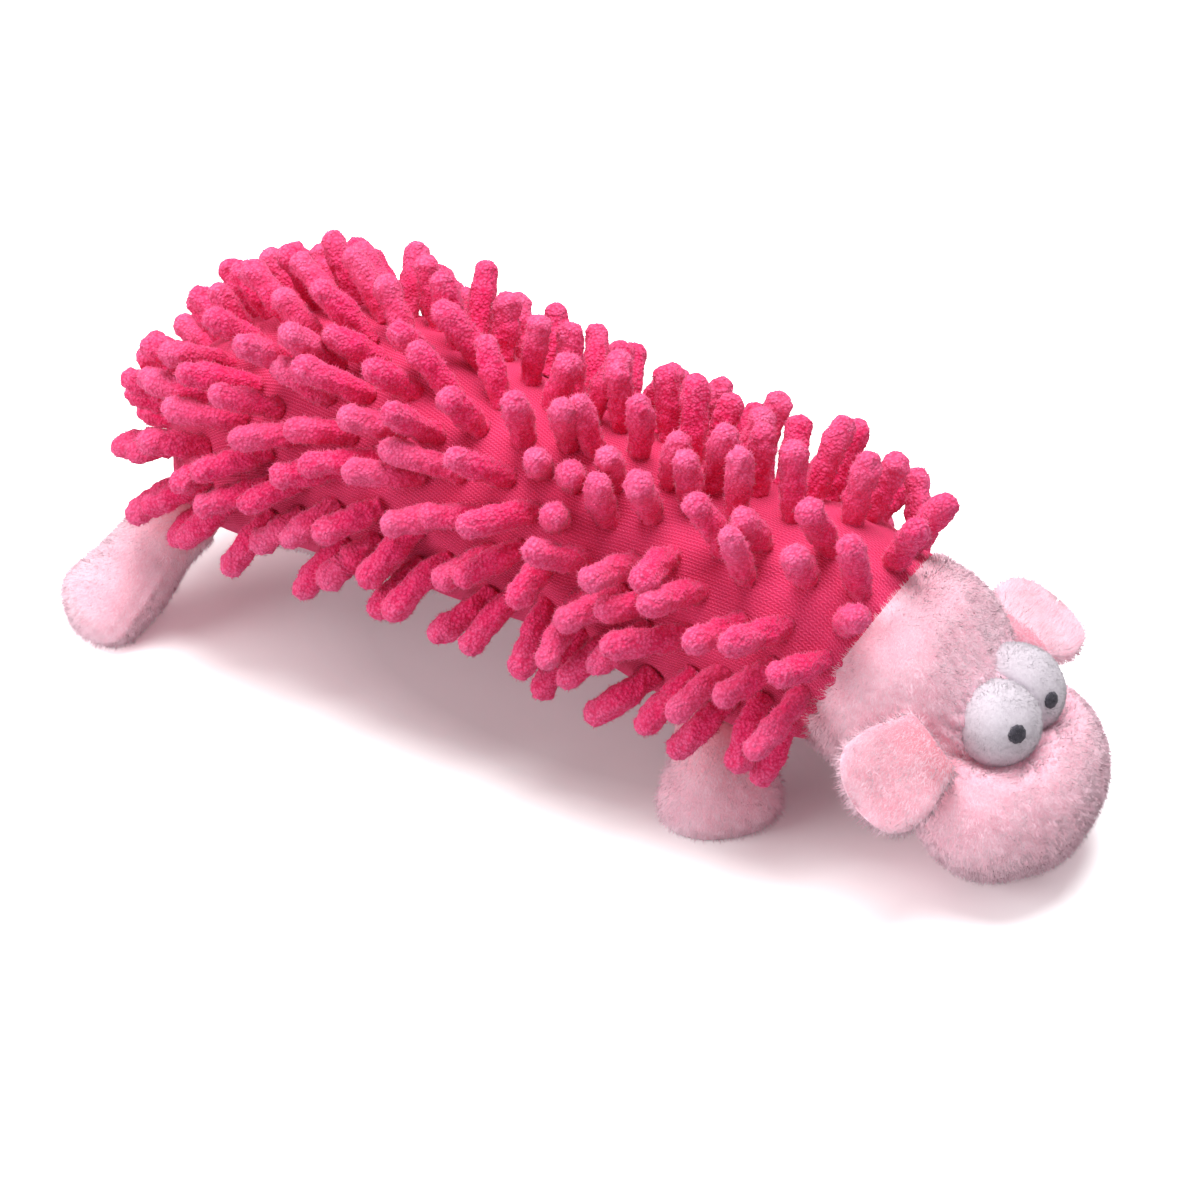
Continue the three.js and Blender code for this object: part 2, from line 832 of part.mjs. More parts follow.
function addTrunk(toy) {
  addPiece(toy, 'rear_cover', rearPart(upperShell).add(rearFingers()), chenillePink());
  addPiece(toy, 'rear_belly_panel', rearPart(bellyShell), bellyPink());
  addPiece(toy, 'rear_stuffing_upper', rearStuffing(1), fibreWhite());
  addPiece(toy, 'rear_stuffing_lower', rearStuffing(-1), fibreWhite());
  const front = pivotGroup(toy, waistCentre);
  addPiece(front, 'front_cover', frontPart(upperShell).add(frontFingers()), chenillePink());
  addPiece(front, 'front_belly_panel', frontPart(bellyShell), bellyPink());
  addPiece(front, 'front_stuffing', frontPart(stuffing), fibreWhite());
  return front;
}

function addSqueaker(toy) {
  const squeaker = pivotGroup(toy, squeakerBase);
  addPiece(squeaker, 'squeaker_base', squeakerDish(), squeakerPlastic());
  addPiece(squeaker, 'squeaker_bellows', squeakerBellows(), squeakerPlastic());
  addPiece(squeaker, 'squeaker_cap', squeakerLid(), squeakerPlastic());
  addPiece(squeaker, 'reed_barrel', reedBarrel(), reedPlastic());
  addPiece(squeaker, 'reed', reedBlade(), reedPlastic());
}

function addLegs(toy) {
  Object.entries(legFrames).forEach(([name, frame]) => {
    const leg = pivotGroup(toy, frame.pivot);
    addPiece(leg, `${name}_leg_cover`, legCover(frame), plushPink());
    addPiece(leg, `${name}_leg_stuffing`, legForm(frame, legWall + seamGap), fibreWhite());
  });
}

function addHead(front) {
  const head = pivotGroup(front, headCentre);
  addPiece(head, 'forehead_panel', foreheadPanel(), plushPink());
  addPiece(head, 'muzzle_panel', muzzlePanel(), plushPink());
  addPiece(head, 'chin_panel', chinPanel(), plushPink());
  addPiece(head, 'head_stuffing', headForm(headWall + seamGap), fibreWhite());
  Object.entries({ left: 1, right: -1 }).forEach(([name, side]) => {
    addPiece(head, `${name}_eye_cover`, eyeCover(side), eyeWhite());
    addPiece(head, `${name}_eye_stuffing`, eyeStuffing(side), fibreWhite());
    addPiece(head, `${name}_pupil`, pupil(side), pupilGrey());
    const frame = earFrame(side);
    const ear = pivotGroup(head, frame.pivot);
    addPiece(ear, `${name}_ear_upper`, earLayerShape(frame, side, 1), plushPink());
    addPiece(ear, `${name}_ear_lower`, earLayerShape(frame, side, -1), plushPink());
  });
}

// The toy stands on the floor, centred over the origin
function buildToy() {
  const toy = new THREE.Group();
  toy.userData.pivot = vector(0, 0, 0);
  const front = addTrunk(toy);
  addSqueaker(toy);
  addLegs(toy);
  addHead(front);
  toy.updateMatrixWorld(true);
  const box = new THREE.Box3().setFromObject(toy, true);
  const middle = box.getCenter(vector());
  toy.position.set(-middle.x, -middle.y, -box.min.z);
  return toy;
}

export default buildToy();
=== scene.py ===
"""Squeaky plush dog toy: its fabrics, chenille fingers, face and filling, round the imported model."""
import json
from math import cos, floor, pi, radians, sin, sqrt, tan

import bmesh
import bpy
import numpy as np
from mathutils import Matrix, Vector


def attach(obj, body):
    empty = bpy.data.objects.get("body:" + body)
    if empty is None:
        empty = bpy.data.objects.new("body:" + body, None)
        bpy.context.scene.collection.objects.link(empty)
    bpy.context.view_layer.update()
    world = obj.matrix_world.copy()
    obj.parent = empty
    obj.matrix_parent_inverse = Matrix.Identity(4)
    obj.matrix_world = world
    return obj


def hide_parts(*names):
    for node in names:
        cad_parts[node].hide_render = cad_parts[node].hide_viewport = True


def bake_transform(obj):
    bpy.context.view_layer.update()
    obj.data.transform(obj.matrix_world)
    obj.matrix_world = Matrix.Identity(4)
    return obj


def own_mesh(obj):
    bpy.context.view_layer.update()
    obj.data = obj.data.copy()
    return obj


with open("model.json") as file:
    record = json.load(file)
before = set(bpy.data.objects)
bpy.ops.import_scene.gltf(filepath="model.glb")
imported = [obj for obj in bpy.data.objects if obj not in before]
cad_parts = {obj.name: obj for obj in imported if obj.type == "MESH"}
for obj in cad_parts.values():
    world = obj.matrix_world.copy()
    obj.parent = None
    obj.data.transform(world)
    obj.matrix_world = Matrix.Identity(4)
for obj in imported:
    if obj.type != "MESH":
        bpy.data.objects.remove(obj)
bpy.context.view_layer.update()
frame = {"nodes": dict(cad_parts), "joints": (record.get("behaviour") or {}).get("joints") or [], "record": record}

MM = 0.001

# Body, with the sizes of the solid model
TRUNK_LENGTH = 277 * MM
TRUNK_RADIUS = 45.5 * MM
TRUNK_HEIGHT = 62.5 * MM
TRUNK_ARCH = 13.5 * MM
ARCH_RISE_SHARE = 0.26
ARCH_FALL_SHARES = (0.4, 0.84)
NECK_DROP = 2.1 * MM
NECK_BEND_SHARE = 0.84
NECK_RADIUS_SHARE = 0.95
WAIST_SHARE = 0.628
PROFILE_SHARES = (
    (0, 0), (0.012, 0.38), (0.055, 0.74), (0.13, 0.95), (0.24, 1), (0.4, 0.955),
    (0.53, 0.88), (WAIST_SHARE, 0.835), (0.72, 0.86), (0.83, 0.885), (0.93, 0.85),
)
HEAD_PITCH = radians(25)
HEAD_BALL = 36 * MM
BELLY_START = 34 * MM
BELLY_HALF_ANGLE = radians(44)
BELLY_ROUND = 22 * MM
NECK_CLEARANCE = 0.5 * MM
LEG_CLEARANCE = 0.4 * MM
SKIN_FLOOR_GAP = 0.05 * MM
HAIR_FLOOR_GAP = 0.1 * MM

# Lumps, as layers of a depth, a size and a seed
COVER_LUMPS = ((0.7 * MM, 16 * MM, 3), (0.28 * MM, 6 * MM, 4))
BELLY_LUMPS = ((0.5 * MM, 14 * MM, 8),)
HEAD_LUMPS = ((0.5 * MM, 15 * MM, 5), (0.12 * MM, 5 * MM, 6))
EYE_LUMPS = ((0.12 * MM, 5 * MM, 40),)
EAR_LUMPS = {"left": ((0.35 * MM, 9 * MM, 61),), "right": ((0.35 * MM, 9 * MM, 59),)}
LEG_LUMPS = ((0.7 * MM, 12 * MM, 80),)
FILLING_LUMPS = ((0.5 * MM, 7 * MM, 7),)

# Cover; a pair such as HEM gives a height and the reach over which it fades
COVER_WALL = 1.6 * MM
COVER_STEP = 1.5 * MM
COVER_COLUMNS = 190
COVER_START = 0.3 * MM
COVER_END_GAP = 3.5 * MM
COVER_CALM_REACH = 4 * MM
END_WAVE = (0.8 * MM, 6 * MM)
END_GATHER = (0.45 * MM, 9 * MM)
END_GATHERS = 38
HEM = (0.9 * MM, 1.6 * MM)
KNIT_PITCH = 1.1 * MM

# Belly panel
BELLY_TUCK = 3 * MM
BELLY_END_GAP = 1 * MM
BELLY_SINK = 1.7 * MM
BELLY_SINK_REACHES = (2 * MM, 11 * MM)
BELLY_REST_SINK = 0.6 * MM
BELLY_WALL = 1.5 * MM
BELLY_GRID = (150, 60)
BELLY_PILE_TOP = 10 * MM
BELLY_PILE_DENSITY = 1.6
BELLY_COMB = (-0.5, 0, -0.2)

# Chenille fingers
FINGER_LENGTH = 25 * MM
FINGER_RADIUS = 4.3 * MM
FINGER_SPACING = 14.4 * MM
FINGER_SINK = 1.8 * MM
FINGER_FIRST_RING = 6 * MM
FINGER_NECK_BAND = 10 * MM
FINGER_NECK_SHIFT = 3 * MM
FINGER_NECK_REACHES = (36 * MM, 12 * MM)
FINGER_LOWEST = radians(-16)
FINGER_CLEARANCE = 1.2 * MM
FINGER_JITTER = 2.2 * MM
FINGER_LENGTH_SHARE = 0.14
FINGER_RUMP_SHARE = 0.22
FINGER_SCATTER_SHARE = 0.34
FINGER_DROOP_SHARE = 1.0
FINGER_DROOP_HEIGHTS = (-0.4, 0.95)
FINGER_BEND_SHARE = 0.34
FINGER_HANG_SHARE = 0.2
FINGER_THICKNESS_SHARE = 0.06
FINGER_ROOT_SHARE = 0.84
FINGER_LEAD_SHARE = 0.25
FINGER_SWELL_SHARE = 0.06
FINGER_LIFTS = 4
REAR_LEAN_SHARES = (1.2, 0.62)
REAR_LEAN_HEIGHTS = (0.55, 0.98)
FRONT_LEAN_SHARES = (0.65, 0.02)
FRONT_LEAN_HEIGHTS = (0.2, 0.85)
LEAN_CHANGE_SHARES = (0.45, 0.72)
WAIST_LEAN_REACH = 26 * MM
WAIST_BEND = radians(12)
WAIST_BALL_SHARE = 1.07
BALL_GAP = 0.9 * MM
MIDDLE_ROW = 40
LEG_SWING = radians(15)
HASH_SHARES = (12.9898, 78.233, 37.719, 43758.5453)
FINGER_GRAIN = 0.1932 * MM
FINGER_FUZZ = 0.9 * MM
FINGER_FUZZ_DENSITY = 1.1
FINGER_RINGS = 28
FINGER_TIP_RINGS = 7
FINGER_SIDES = 32
FINGER_BANDS = 6
PUCKER = (0.7 * MM, 6 * MM)

# Head
MUZZLE_HALF = np.array((29, 40.5, 29.25)) * MM
MUZZLE_FORWARD = 38.8 * MM
SOLE_DEPTH = 0.5 * MM
HEAD_GRID = (130, 200)
HEAD_WALL = 2 * MM
SEAM_ALLOWANCE = 2.5 * MM
CHIN_SEAM = 17.5 * MM
CHIN_DENT = (0.8 * MM, 1.3 * MM)
CHIN_TAPER = 0.16
CHIN_PILE_START = 2 * MM
FILLET_REACH = 12 * MM
FILLET_HIDDEN_SHARE = 0.6
CREASE = (0.6 * MM, 2.6 * MM)
SEAM_SHADE_REACH = 6.24 * MM
GATHERS = 26
GATHER = (0.45 * MM, 8 * MM)
EYE_GATHERS = 17
EYE_GATHER = (0.7 * MM, 5 * MM)
EYE_GATHER_PLACE = 3 * MM
BOWL_DEPTH = 8.5 * MM
BOWL_REACHES = (8 * MM, 23 * MM)
BOWL_TOP_SHARE = 0.8
CHEEK_PUFF = (1.6 * MM, 14 * MM)
CHEEK_BEHIND = 4 * MM
NECK_TUCK = 0.9 * MM
NECK_TUCK_REACH = 4 * MM
SLEEVE_END = -16 * MM
SLEEVE_STRETCH = 1.25
SLEEVE_PILE_START = 0.6 * MM
SLEEVE_PILE_REACH = 8 * MM
HEAD_COMB = (0.5, -0.35, -0.5)
HEAD_COMB_SHARE = 0.7
SLEEVE_COMB_SHARE = 1.3

# Eyes
EYE_RADIUS = 13.4 * MM
EYE_SPACING = 17.6 * MM
EYE_FORWARD = 36.6 * MM
EYE_HEIGHT = 56.66 * MM
EYE_GAP = 0.15 * MM
EYE_HALF = {1: np.array((15.2, 14, 14.8)) * MM, -1: np.array((13.4, 13.6, 13.8)) * MM}
EYE_SHIFT = {1: np.array((-1.8, 0.6, 0.6)) * MM, -1: np.array((0, 0, 0)) * MM}
EYE_GRID = (60, 90)
EYE_FLAT_ROUND = 0.6 * MM
EYE_FLAT_REACH = 4 * MM
EYE_PILE = 0.7 * MM
EYE_PILE_DENSITY = 6.8
EYE_PILE_REACH = 11 * MM
EYE_COMB = (0.3, 0, -0.3)
PUPIL_RADIUS = {"left": 2.75 * MM, "right": 3.05 * MM}
PUPIL_THICKNESS = 0.6 * MM
PUPIL_SHARES = {"left": (0.86, -0.32, 0.28), "right": (0.71, -0.58, 0.36)}
PUPIL_CENTRE_SHIFT = 0.2 * MM
PUPIL_LIFT = 0.1 * MM
PUPIL_EDGE = (-0.2 * MM, -0.5 * MM)
PUPIL_BACK = 0.6 * MM
PUPIL_GRAIN = 0.05 * MM
PUPIL_RAGGED_SHARES = (0.03, 0.025)
PUPIL_START_SHARE = 0.08
PUPIL_RINGS = 14
PUPIL_SIDES = 72

# Ears
EAR_LENGTH = {"left": 27.5 * MM, "right": 31 * MM}
EAR_WIDTH = 33 * MM
EAR_LAYER = {"left": 5.4 * MM, "right": 4.6 * MM}
EAR_CURL = {"left": 4.5 * MM, "right": 2.5 * MM}
EAR_SWEEP = {"left": radians(4), "right": radians(24)}
EAR_DROOP = {"left": radians(17), "right": radians(21)}
EAR_ROLL = {"left": radians(27), "right": radians(38)}
EAR_ROOT_SHARE = -0.05
EAR_ROOT_WIDTH_SHARE = 0.72
EAR_ROOT_PUFF_SHARE = 0.35
EAR_CAP_SHARE = 0.58
EAR_MIDDLE_SHARE = 0.7
EAR_TIP_CURL_SHARE = 0.55
EAR_TIP = 0.4 * MM
EAR_COMB_SHARE = 0.6
EAR_PILE_SHARE = 1.4
EAR_GRID = (50, 84)
# Painted shade on the ear's cupped inside and at its root, as a coral colour
EAR_INSIDE_PAINTED_SHADE = 1.6
EAR_ROOT_PAINTED_SHADE = (0.8, 0.22)

# Legs
REAR_LEG = {"lean": radians(-31), "splay": radians(43), "root": 13 * MM, "foot": (20 * MM, 14 * MM)}
FRONT_LEG = {"lean": radians(16.5), "splay": radians(21), "root": 14 * MM, "foot": (20.5 * MM, 13 * MM)}
LEG_BALL_SHARE = 0.9
LEG_END_SHARE = 0.98
LEG_FLARE_SHARE = 0.09
LEG_SEAM = (0.7 * MM, 1.4 / 12)
LEG_SEAM_SHARES = (0.2, 0.5)
LEG_SOFT_SHARE = 0.4
# Painted shade round the leg's root: a strength and the reach over which it fades
LEG_ROOT_PAINTED_SHADE = (0.5, 5 * MM)
LEG_PILE_START = 1.5 * MM
LEG_COMB_SHARE = 0.7
LEG_PILE_SHARE = 1.1
LEG_RINGS = (14, 34, 24)
LEG_COLUMNS = 96

# Pile
PILE_LENGTH = 1.9 * MM
PILE_WIDTH = 0.12 * MM
PILE_DENSITY = 3.4
PILE_SCATTER = 0.28
PILE_LENGTH_SHARES = (0.55, 1.05)
PILE_TONES = (0.5, 0.3, 0.25)
PILE_PAINTED_TIP_SHARES = (0.25, 0.25, 0.25, 1)
PILE_CLUMP = 2.2 * MM
PILE_TILT = 0.17
PILE_RISE = 0.25
PILE_ROW = 1.9 * MM
PILE_ROW_DEPTH = 0.24
PILE_ROW_AXIS = (0.1, -0.55, -0.83)
PILE_ROW_WEAR = 14 * MM
PILE_ROW_SWAY = 8 * MM

# Filling
FILLING_VOXEL = 2.5 * MM
FILLING_SMOOTHING = 6
FILLING_INSET = 1.2 * MM
FILLING_DROP = 1 * MM
FILLING_EYE_GAP = 2 * MM

# Camera and light
CAMERA_AZIMUTH = radians(31.5)
CAMERA_ELEVATION = radians(36)
CAMERA_DISTANCE = 960 * MM
CAMERA_TARGET = Vector((5, -2, 43)) * MM
CAMERA_LENS = 85
CAMERA_SENSOR = 36
LIGHT_AIM = (0, 0, 0.05)
LIGHT_SIZE = 1.0
KEY_PLACE = (-0.1, 0.14, 1.3)
KEY_POWER = 21.5
FILL_PLACE = (-0.9, -1.0, 0.55)
FILL_POWER = 10
WORLD_STRENGTH = 0.45
FLOOR_HALF = 3
FLOOR_GREY = 0.62
FLOOR_RED_SHARE = 0.98
FLOOR_OVAL = (1 / 0.18, 1 / 0.075, 0)
# Painted shade: the floor's seen colour is lower close to the object, deepening its shadow
FLOOR_NEAR_PAINTED_SHADE = (0.5, 1.25, 0.8, 1.65)
FLOOR_FAR = (2, 14, 0, 9)


# Numbers and directions
def smoothstep(value, low, high):
    t = np.clip((np.asarray(value, float) - low) / (high - low), 0, 1)
    return t * t * (3 - 2 * t)


def unit(vectors):
    return vectors / np.linalg.norm(vectors, axis=-1, keepdims=True)


def hump(distance, reach):
    return np.exp(-((distance / reach) ** 2))


def faded(distance, pair):
    height, reach = pair
    return height * hump(distance, reach)


def full_turn(steps):
    return np.linspace(0, 2 * pi, steps, endpoint=False)


def ripples(points, size, seed, waves=14):
    """A smooth random field, mostly from -1 to 1, with bumps of about the given size."""
    rng = np.random.default_rng(seed)
    turns = unit(rng.normal(size=(waves, 3))) * (2 * pi / (size * rng.uniform(1.4, 2.8, (waves, 1))))
    total = np.sin(points @ turns.T + rng.uniform(0, 2 * pi, waves)).sum(-1)
    return total / sqrt(waves)


def lumps(points, layers):
    return sum(depth * ripples(points, size, seed) for depth, size, seed in layers)


# Places that the frame gives
JOINTS = {joint["name"]: joint for joint in frame["joints"]}


def joint_point(name):
    return np.array(JOINTS[name]["pos_m"], float)


WAIST = joint_point("waist_bend")
HEAD = joint_point("head_nod")
RUMP_X = WAIST[0] - WAIST_SHARE * TRUNK_LENGTH
MUZZLE = np.array((HEAD[0] + MUZZLE_FORWARD, 0, MUZZLE_HALF[2] - SOLE_DEPTH))
NECK_AXIS = np.array((cos(HEAD_PITCH), 0, -sin(HEAD_PITCH)))


# Meshes
def new_object(name, data):
    made = bpy.data.objects.new(name, data)
    bpy.context.scene.collection.objects.link(made)
    return made


def set_uv(mesh, name, places):
    mesh.uv_layers.new(name=name).data.foreach_set("uv", places.astype(np.float32).ravel())


def mesh_object(name, points, faces, corner_uv=None):
    """An object from points and a list of face arrays, with an optional bake map."""
    corners = np.concatenate([np.ravel(part) for part in faces]).astype(np.int32)
    sizes = np.concatenate([np.full(len(part), np.shape(part)[1]) for part in faces])
    mesh = bpy.data.meshes.new(name)
    mesh.vertices.add(len(points))
    mesh.vertices.foreach_set("co", np.asarray(points, np.float32).ravel())
    mesh.loops.add(len(corners))
    mesh.loops.foreach_set("vertex_index", corners)
    mesh.polygons.add(len(sizes))
    mesh.polygons.foreach_set("loop_start", (np.cumsum(sizes) - sizes).astype(np.int32))
    mesh.update(calc_edges=True)
    if corner_uv is not None:
        set_uv(mesh, "OFBake", np.concatenate([part.reshape(-1, 2) for part in corner_uv]))
    mesh.shade_smooth()
    return new_object(name, mesh)


def point_values(made, name, values):
    layer = made.data.attributes.new(name, "FLOAT", "POINT")
    layer.data.foreach_set("value", np.asarray(values, np.float32).ravel())


def vertex_values(made, name):
    """The places ("co") or the normals ("normal") of an object's vertices."""
    values = np.zeros(len(made.data.vertices) * 3, np.float32)
    made.data.vertices.foreach_get(name, values)
    return values.reshape(-1, 3).astype(float)


def grid_quads(rows, columns, closed):
    """Quads over points stored row by row; closed joins the last column to the first."""
    across = columns if closed else columns - 1
    i, j = np.meshgrid(np.arange(rows - 1), np.arange(across), indexing="ij")
    here = (i * columns + j).ravel()
    beside = (i * columns + (j + 1) % columns).ravel()
    return np.stack([here, beside, beside + columns, here + columns], -1)


def fan(centre, first, columns, flip):
    j = np.arange(columns)
    a = first + j
    b = first + (j + 1) % columns
    middle = np.full(columns, centre)
    return np.stack([middle, b, a] if flip else [middle, a, b], -1)


def ring_faces(rows, columns):
    """Faces over closed rings of points, followed by one point for each end."""
    count = rows * columns
    return [
        grid_quads(rows, columns, True),
        fan(count, 0, columns, True),
        fan(count + 1, count - columns, columns, False),
    ]


def flipped(faces):
    return [part[:, ::-1] for part in faces]


def weld(made, distance=1e-6):
    """Merges doubled points and turns all faces outward, away from the middle."""
    work = bmesh.new()
    work.from_mesh(made.data)
    bmesh.ops.remove_doubles(work, verts=work.verts, dist=distance)
    bmesh.ops.recalc_face_normals(work, faces=work.faces)
    middle = sum((vertex.co for vertex in work.verts), Vector()) / len(work.verts)
    outward = (face.normal.dot(face.calc_center_median() - middle) * face.calc_area() for face in work.faces)
    if sum(outward) < 0:
        bmesh.ops.reverse_faces(work, faces=work.faces)
    work.to_mesh(made.data)
    work.free()


def apply_modifiers(made):
    bpy.context.view_layer.update()
    depsgraph = bpy.context.evaluated_depsgraph_get()
    mesh = bpy.data.meshes.new_from_object(made.evaluated_get(depsgraph))
    made.modifiers.clear()
    made.data = mesh
    made.data.shade_smooth()


def thicken(made, wall):
    """Gives an open skin a wall on its inner side, closed along its edges."""
    modifier = made.modifiers.new("wall", "SOLIDIFY")
    modifier.thickness = wall
    modifier.offset = -1
    modifier.use_rim = True
    apply_modifiers(made)


def push_out(points, centre, radius):
    """Moves what lies inside a ball onto its surface."""
    offset = points - centre
    distance = np.linalg.norm(offset, axis=-1, keepdims=True)
    moved = centre + offset * (radius / np.maximum(distance, 1e-9))
    return np.where(distance < radius, moved, points)


# Body shape
def spline(points, samples):
    """Points of a smooth curve through the given points, as a Catmull-Rom spline."""
    points = np.array(points, float)
    place = np.linspace(0, len(points) - 1, samples)
    first = np.minimum(place.astype(int), len(points) - 2)
    t = (place - first)[:, None]
    p0 = points[np.maximum(first - 1, 0)]
    p1 = points[first]
    p2 = points[first + 1]
    p3 = points[np.minimum(first + 2, len(points) - 1)]
    enter = (p2 - p0) / 2
    leave = (p3 - p1) / 2
    cubic = (2 * p1 - 2 * p2 + enter + leave) * t**3
    return cubic + (3 * p2 - 3 * p1 - 2 * enter - leave) * t**2 + enter * t + p1


def trunk_profile():
    """Length along the body's profile, with the place and the radius there."""
    points = [(length * TRUNK_LENGTH, radius * TRUNK_RADIUS) for length, radius in PROFILE_SHARES]
    curve = spline([*points, (TRUNK_LENGTH, NECK_RADIUS_SHARE * HEAD_BALL)], 1500)
    steps = np.linalg.norm(np.diff(curve, axis=0), axis=1)
    return np.concatenate([[0], np.cumsum(steps)]), curve[:, 0], np.maximum(curve[:, 1], 0)


ARC, ARC_X, ARC_RADIUS = trunk_profile()
TRUNK_ARC = ARC[-1]


def radius_at(arc):
    return np.interp(arc, ARC, ARC_RADIUS)


def arc_at(x):
    return np.interp(x, ARC_X, ARC)


def neck_bend(share):
    return smoothstep(share, NECK_BEND_SHARE, 1)


def spine_height(share):
    arch = smoothstep(share, 0, ARCH_RISE_SHARE) * (1 - smoothstep(share, *ARCH_FALL_SHARES))
    return TRUNK_HEIGHT + TRUNK_ARCH * arch - NECK_DROP * neck_bend(share) ** 2


def trunk_point(arc, angle):
    """A point of the body's surface: arc from the rump along the profile, angle round it from +Y."""
    x = np.interp(arc, ARC, ARC_X)
    radius = radius_at(arc)
    share = x / TRUNK_LENGTH
    pitch = HEAD_PITCH * neck_bend(share)
    high = radius * np.sin(angle)
    return np.stack([
        RUMP_X + x + high * np.sin(pitch),
        radius * np.cos(angle),
        spine_height(share) + high * np.cos(pitch),
    ], -1)


def trunk_normal(arc, angle):
    step = 1 * MM
    turn = step / TRUNK_RADIUS
    forward = trunk_point(arc + step, angle) - trunk_point(arc - step, angle)
    around = trunk_point(arc, angle + turn) - trunk_point(arc, angle - turn)
    return unit(np.cross(around, forward))


def belly_gap(arc):
    """Half the angle that the cover leaves open below, with a round end at the rump."""
    x = np.interp(arc, ARC, ARC_X)
    t = np.clip((x - BELLY_START) / BELLY_ROUND, 0, 1)
    return BELLY_HALF_ANGLE * np.sqrt(1 - (1 - t) ** 2)


# Legs: a frame at each leg's joint, as in the solid model
def leg_frame(name, sizes, side):
    pivot = joint_point(f"{name}_leg_swing")
    direction = unit(np.array((tan(sizes["lean"]), side * tan(sizes["splay"]), -1.0)))
    across = unit(np.cross(direction, (0, 0, 1)))
    up = unit(np.cross(across, direction))
    drop = sizes["foot"][1] * sqrt(1 - direction[2] ** 2)
    length = (pivot[2] - drop) / -direction[2]
    return {"name": name, "pivot": pivot, "direction": direction, "across": across, "up": up,
            "length": length, "root": sizes["root"], "foot": sizes["foot"]}


LEGS = [
    leg_frame("rear_left", REAR_LEG, 1),
    leg_frame("rear_right", REAR_LEG, -1),
    leg_frame("front_left", FRONT_LEG, 1),
    leg_frame("front_right", FRONT_LEG, -1),
]


def clear_of_joints(points):
    """Presses the body's skin back where the leg roots and the head ball sit in it."""
    for leg in LEGS:
        points = push_out(points, leg["pivot"], leg["root"] + LEG_CLEARANCE)
    return push_out(points, HEAD, HEAD_BALL + NECK_CLEARANCE)


# Nodes of a material
def feed(tree, socket, value):
    """Sets a socket to a value, or links another socket to it."""
    if isinstance(value, bpy.types.NodeSocket):
        tree.links.new(value, socket)
    else:
        socket.default_value = value


def node(tree, kind, inputs=(), **settings):
    """Adds a shader node; inputs pairs a socket's name or number with a value or another socket."""
    made = tree.nodes.new(kind)
    for name, value in settings.items():
        setattr(made, name, value)
    for name, value in dict(inputs).items():
        feed(tree, made.inputs[name], value)
    return made


def maths(tree, operation, first, second=0.0, third=0.0):
    inputs = {0: first, 1: second, 2: third}
    return node(tree, "ShaderNodeMath", inputs, operation=operation).outputs[0]


def vector_maths(tree, operation, inputs, result=0):
    return node(tree, "ShaderNodeVectorMath", inputs, operation=operation).outputs[result]


def spread(tree, value, low, high, to_low=0.0, to_high=1.0):
    inputs = {"Value": value, "From Min": low, "From Max": high, "To Min": to_low, "To Max": to_high}
    return node(tree, "ShaderNodeMapRange", inputs).outputs[0]


def mixed(tree, share, first, second):
    inputs = {0: share, 6: first, 7: second}
    return node(tree, "ShaderNodeMix", inputs, data_type="RGBA").outputs[2]


def noise(tree, place, size, detail=2.0):
    inputs = {"Vector": place, "Scale": 1 / size, "Detail": detail, "Roughness": 0.55}
    return node(tree, "ShaderNodeTexNoise", inputs).outputs["Fac"]


def attribute(tree, name):
    return node(tree, "ShaderNodeAttribute", attribute_name=name).outputs["Fac"]


def object_place(tree):
    return node(tree, "ShaderNodeTexCoord").outputs["Object"]


def linear(red, green, blue):
    """A colour given in display values from 0 to 255, as the renderer needs it."""
    values = [channel / 255 for channel in (red, green, blue)]
    return (*[v / 12.92 if v <= 0.04045 else ((v + 0.055) / 1.055) ** 2.4 for v in values], 1)


def start_material(name, roughness, sheen, sheen_tint=(1, 1, 1, 1), specular=0.15):
    made = bpy.data.materials.new(name)
    made.use_nodes = True
    tree = made.node_tree
    shader = tree.nodes["Principled BSDF"]
    shader.inputs["Roughness"].default_value = roughness
    shader.inputs["Specular IOR Level"].default_value = specular
    shader.inputs["Sheen Weight"].default_value = sheen
    shader.inputs["Sheen Roughness"].default_value = 0.5
    shader.inputs["Sheen Tint"].default_value = sheen_tint
    return made, tree, shader, object_place(tree)


def finish_material(tree, shader, colour, height, depth):
    tree.links.new(colour, shader.inputs["Base Color"])
    bump = node(tree, "ShaderNodeBump", {"Height": height, "Strength": 1.0, "Distance": depth})
    tree.links.new(bump.outputs[0], shader.inputs["Normal"])


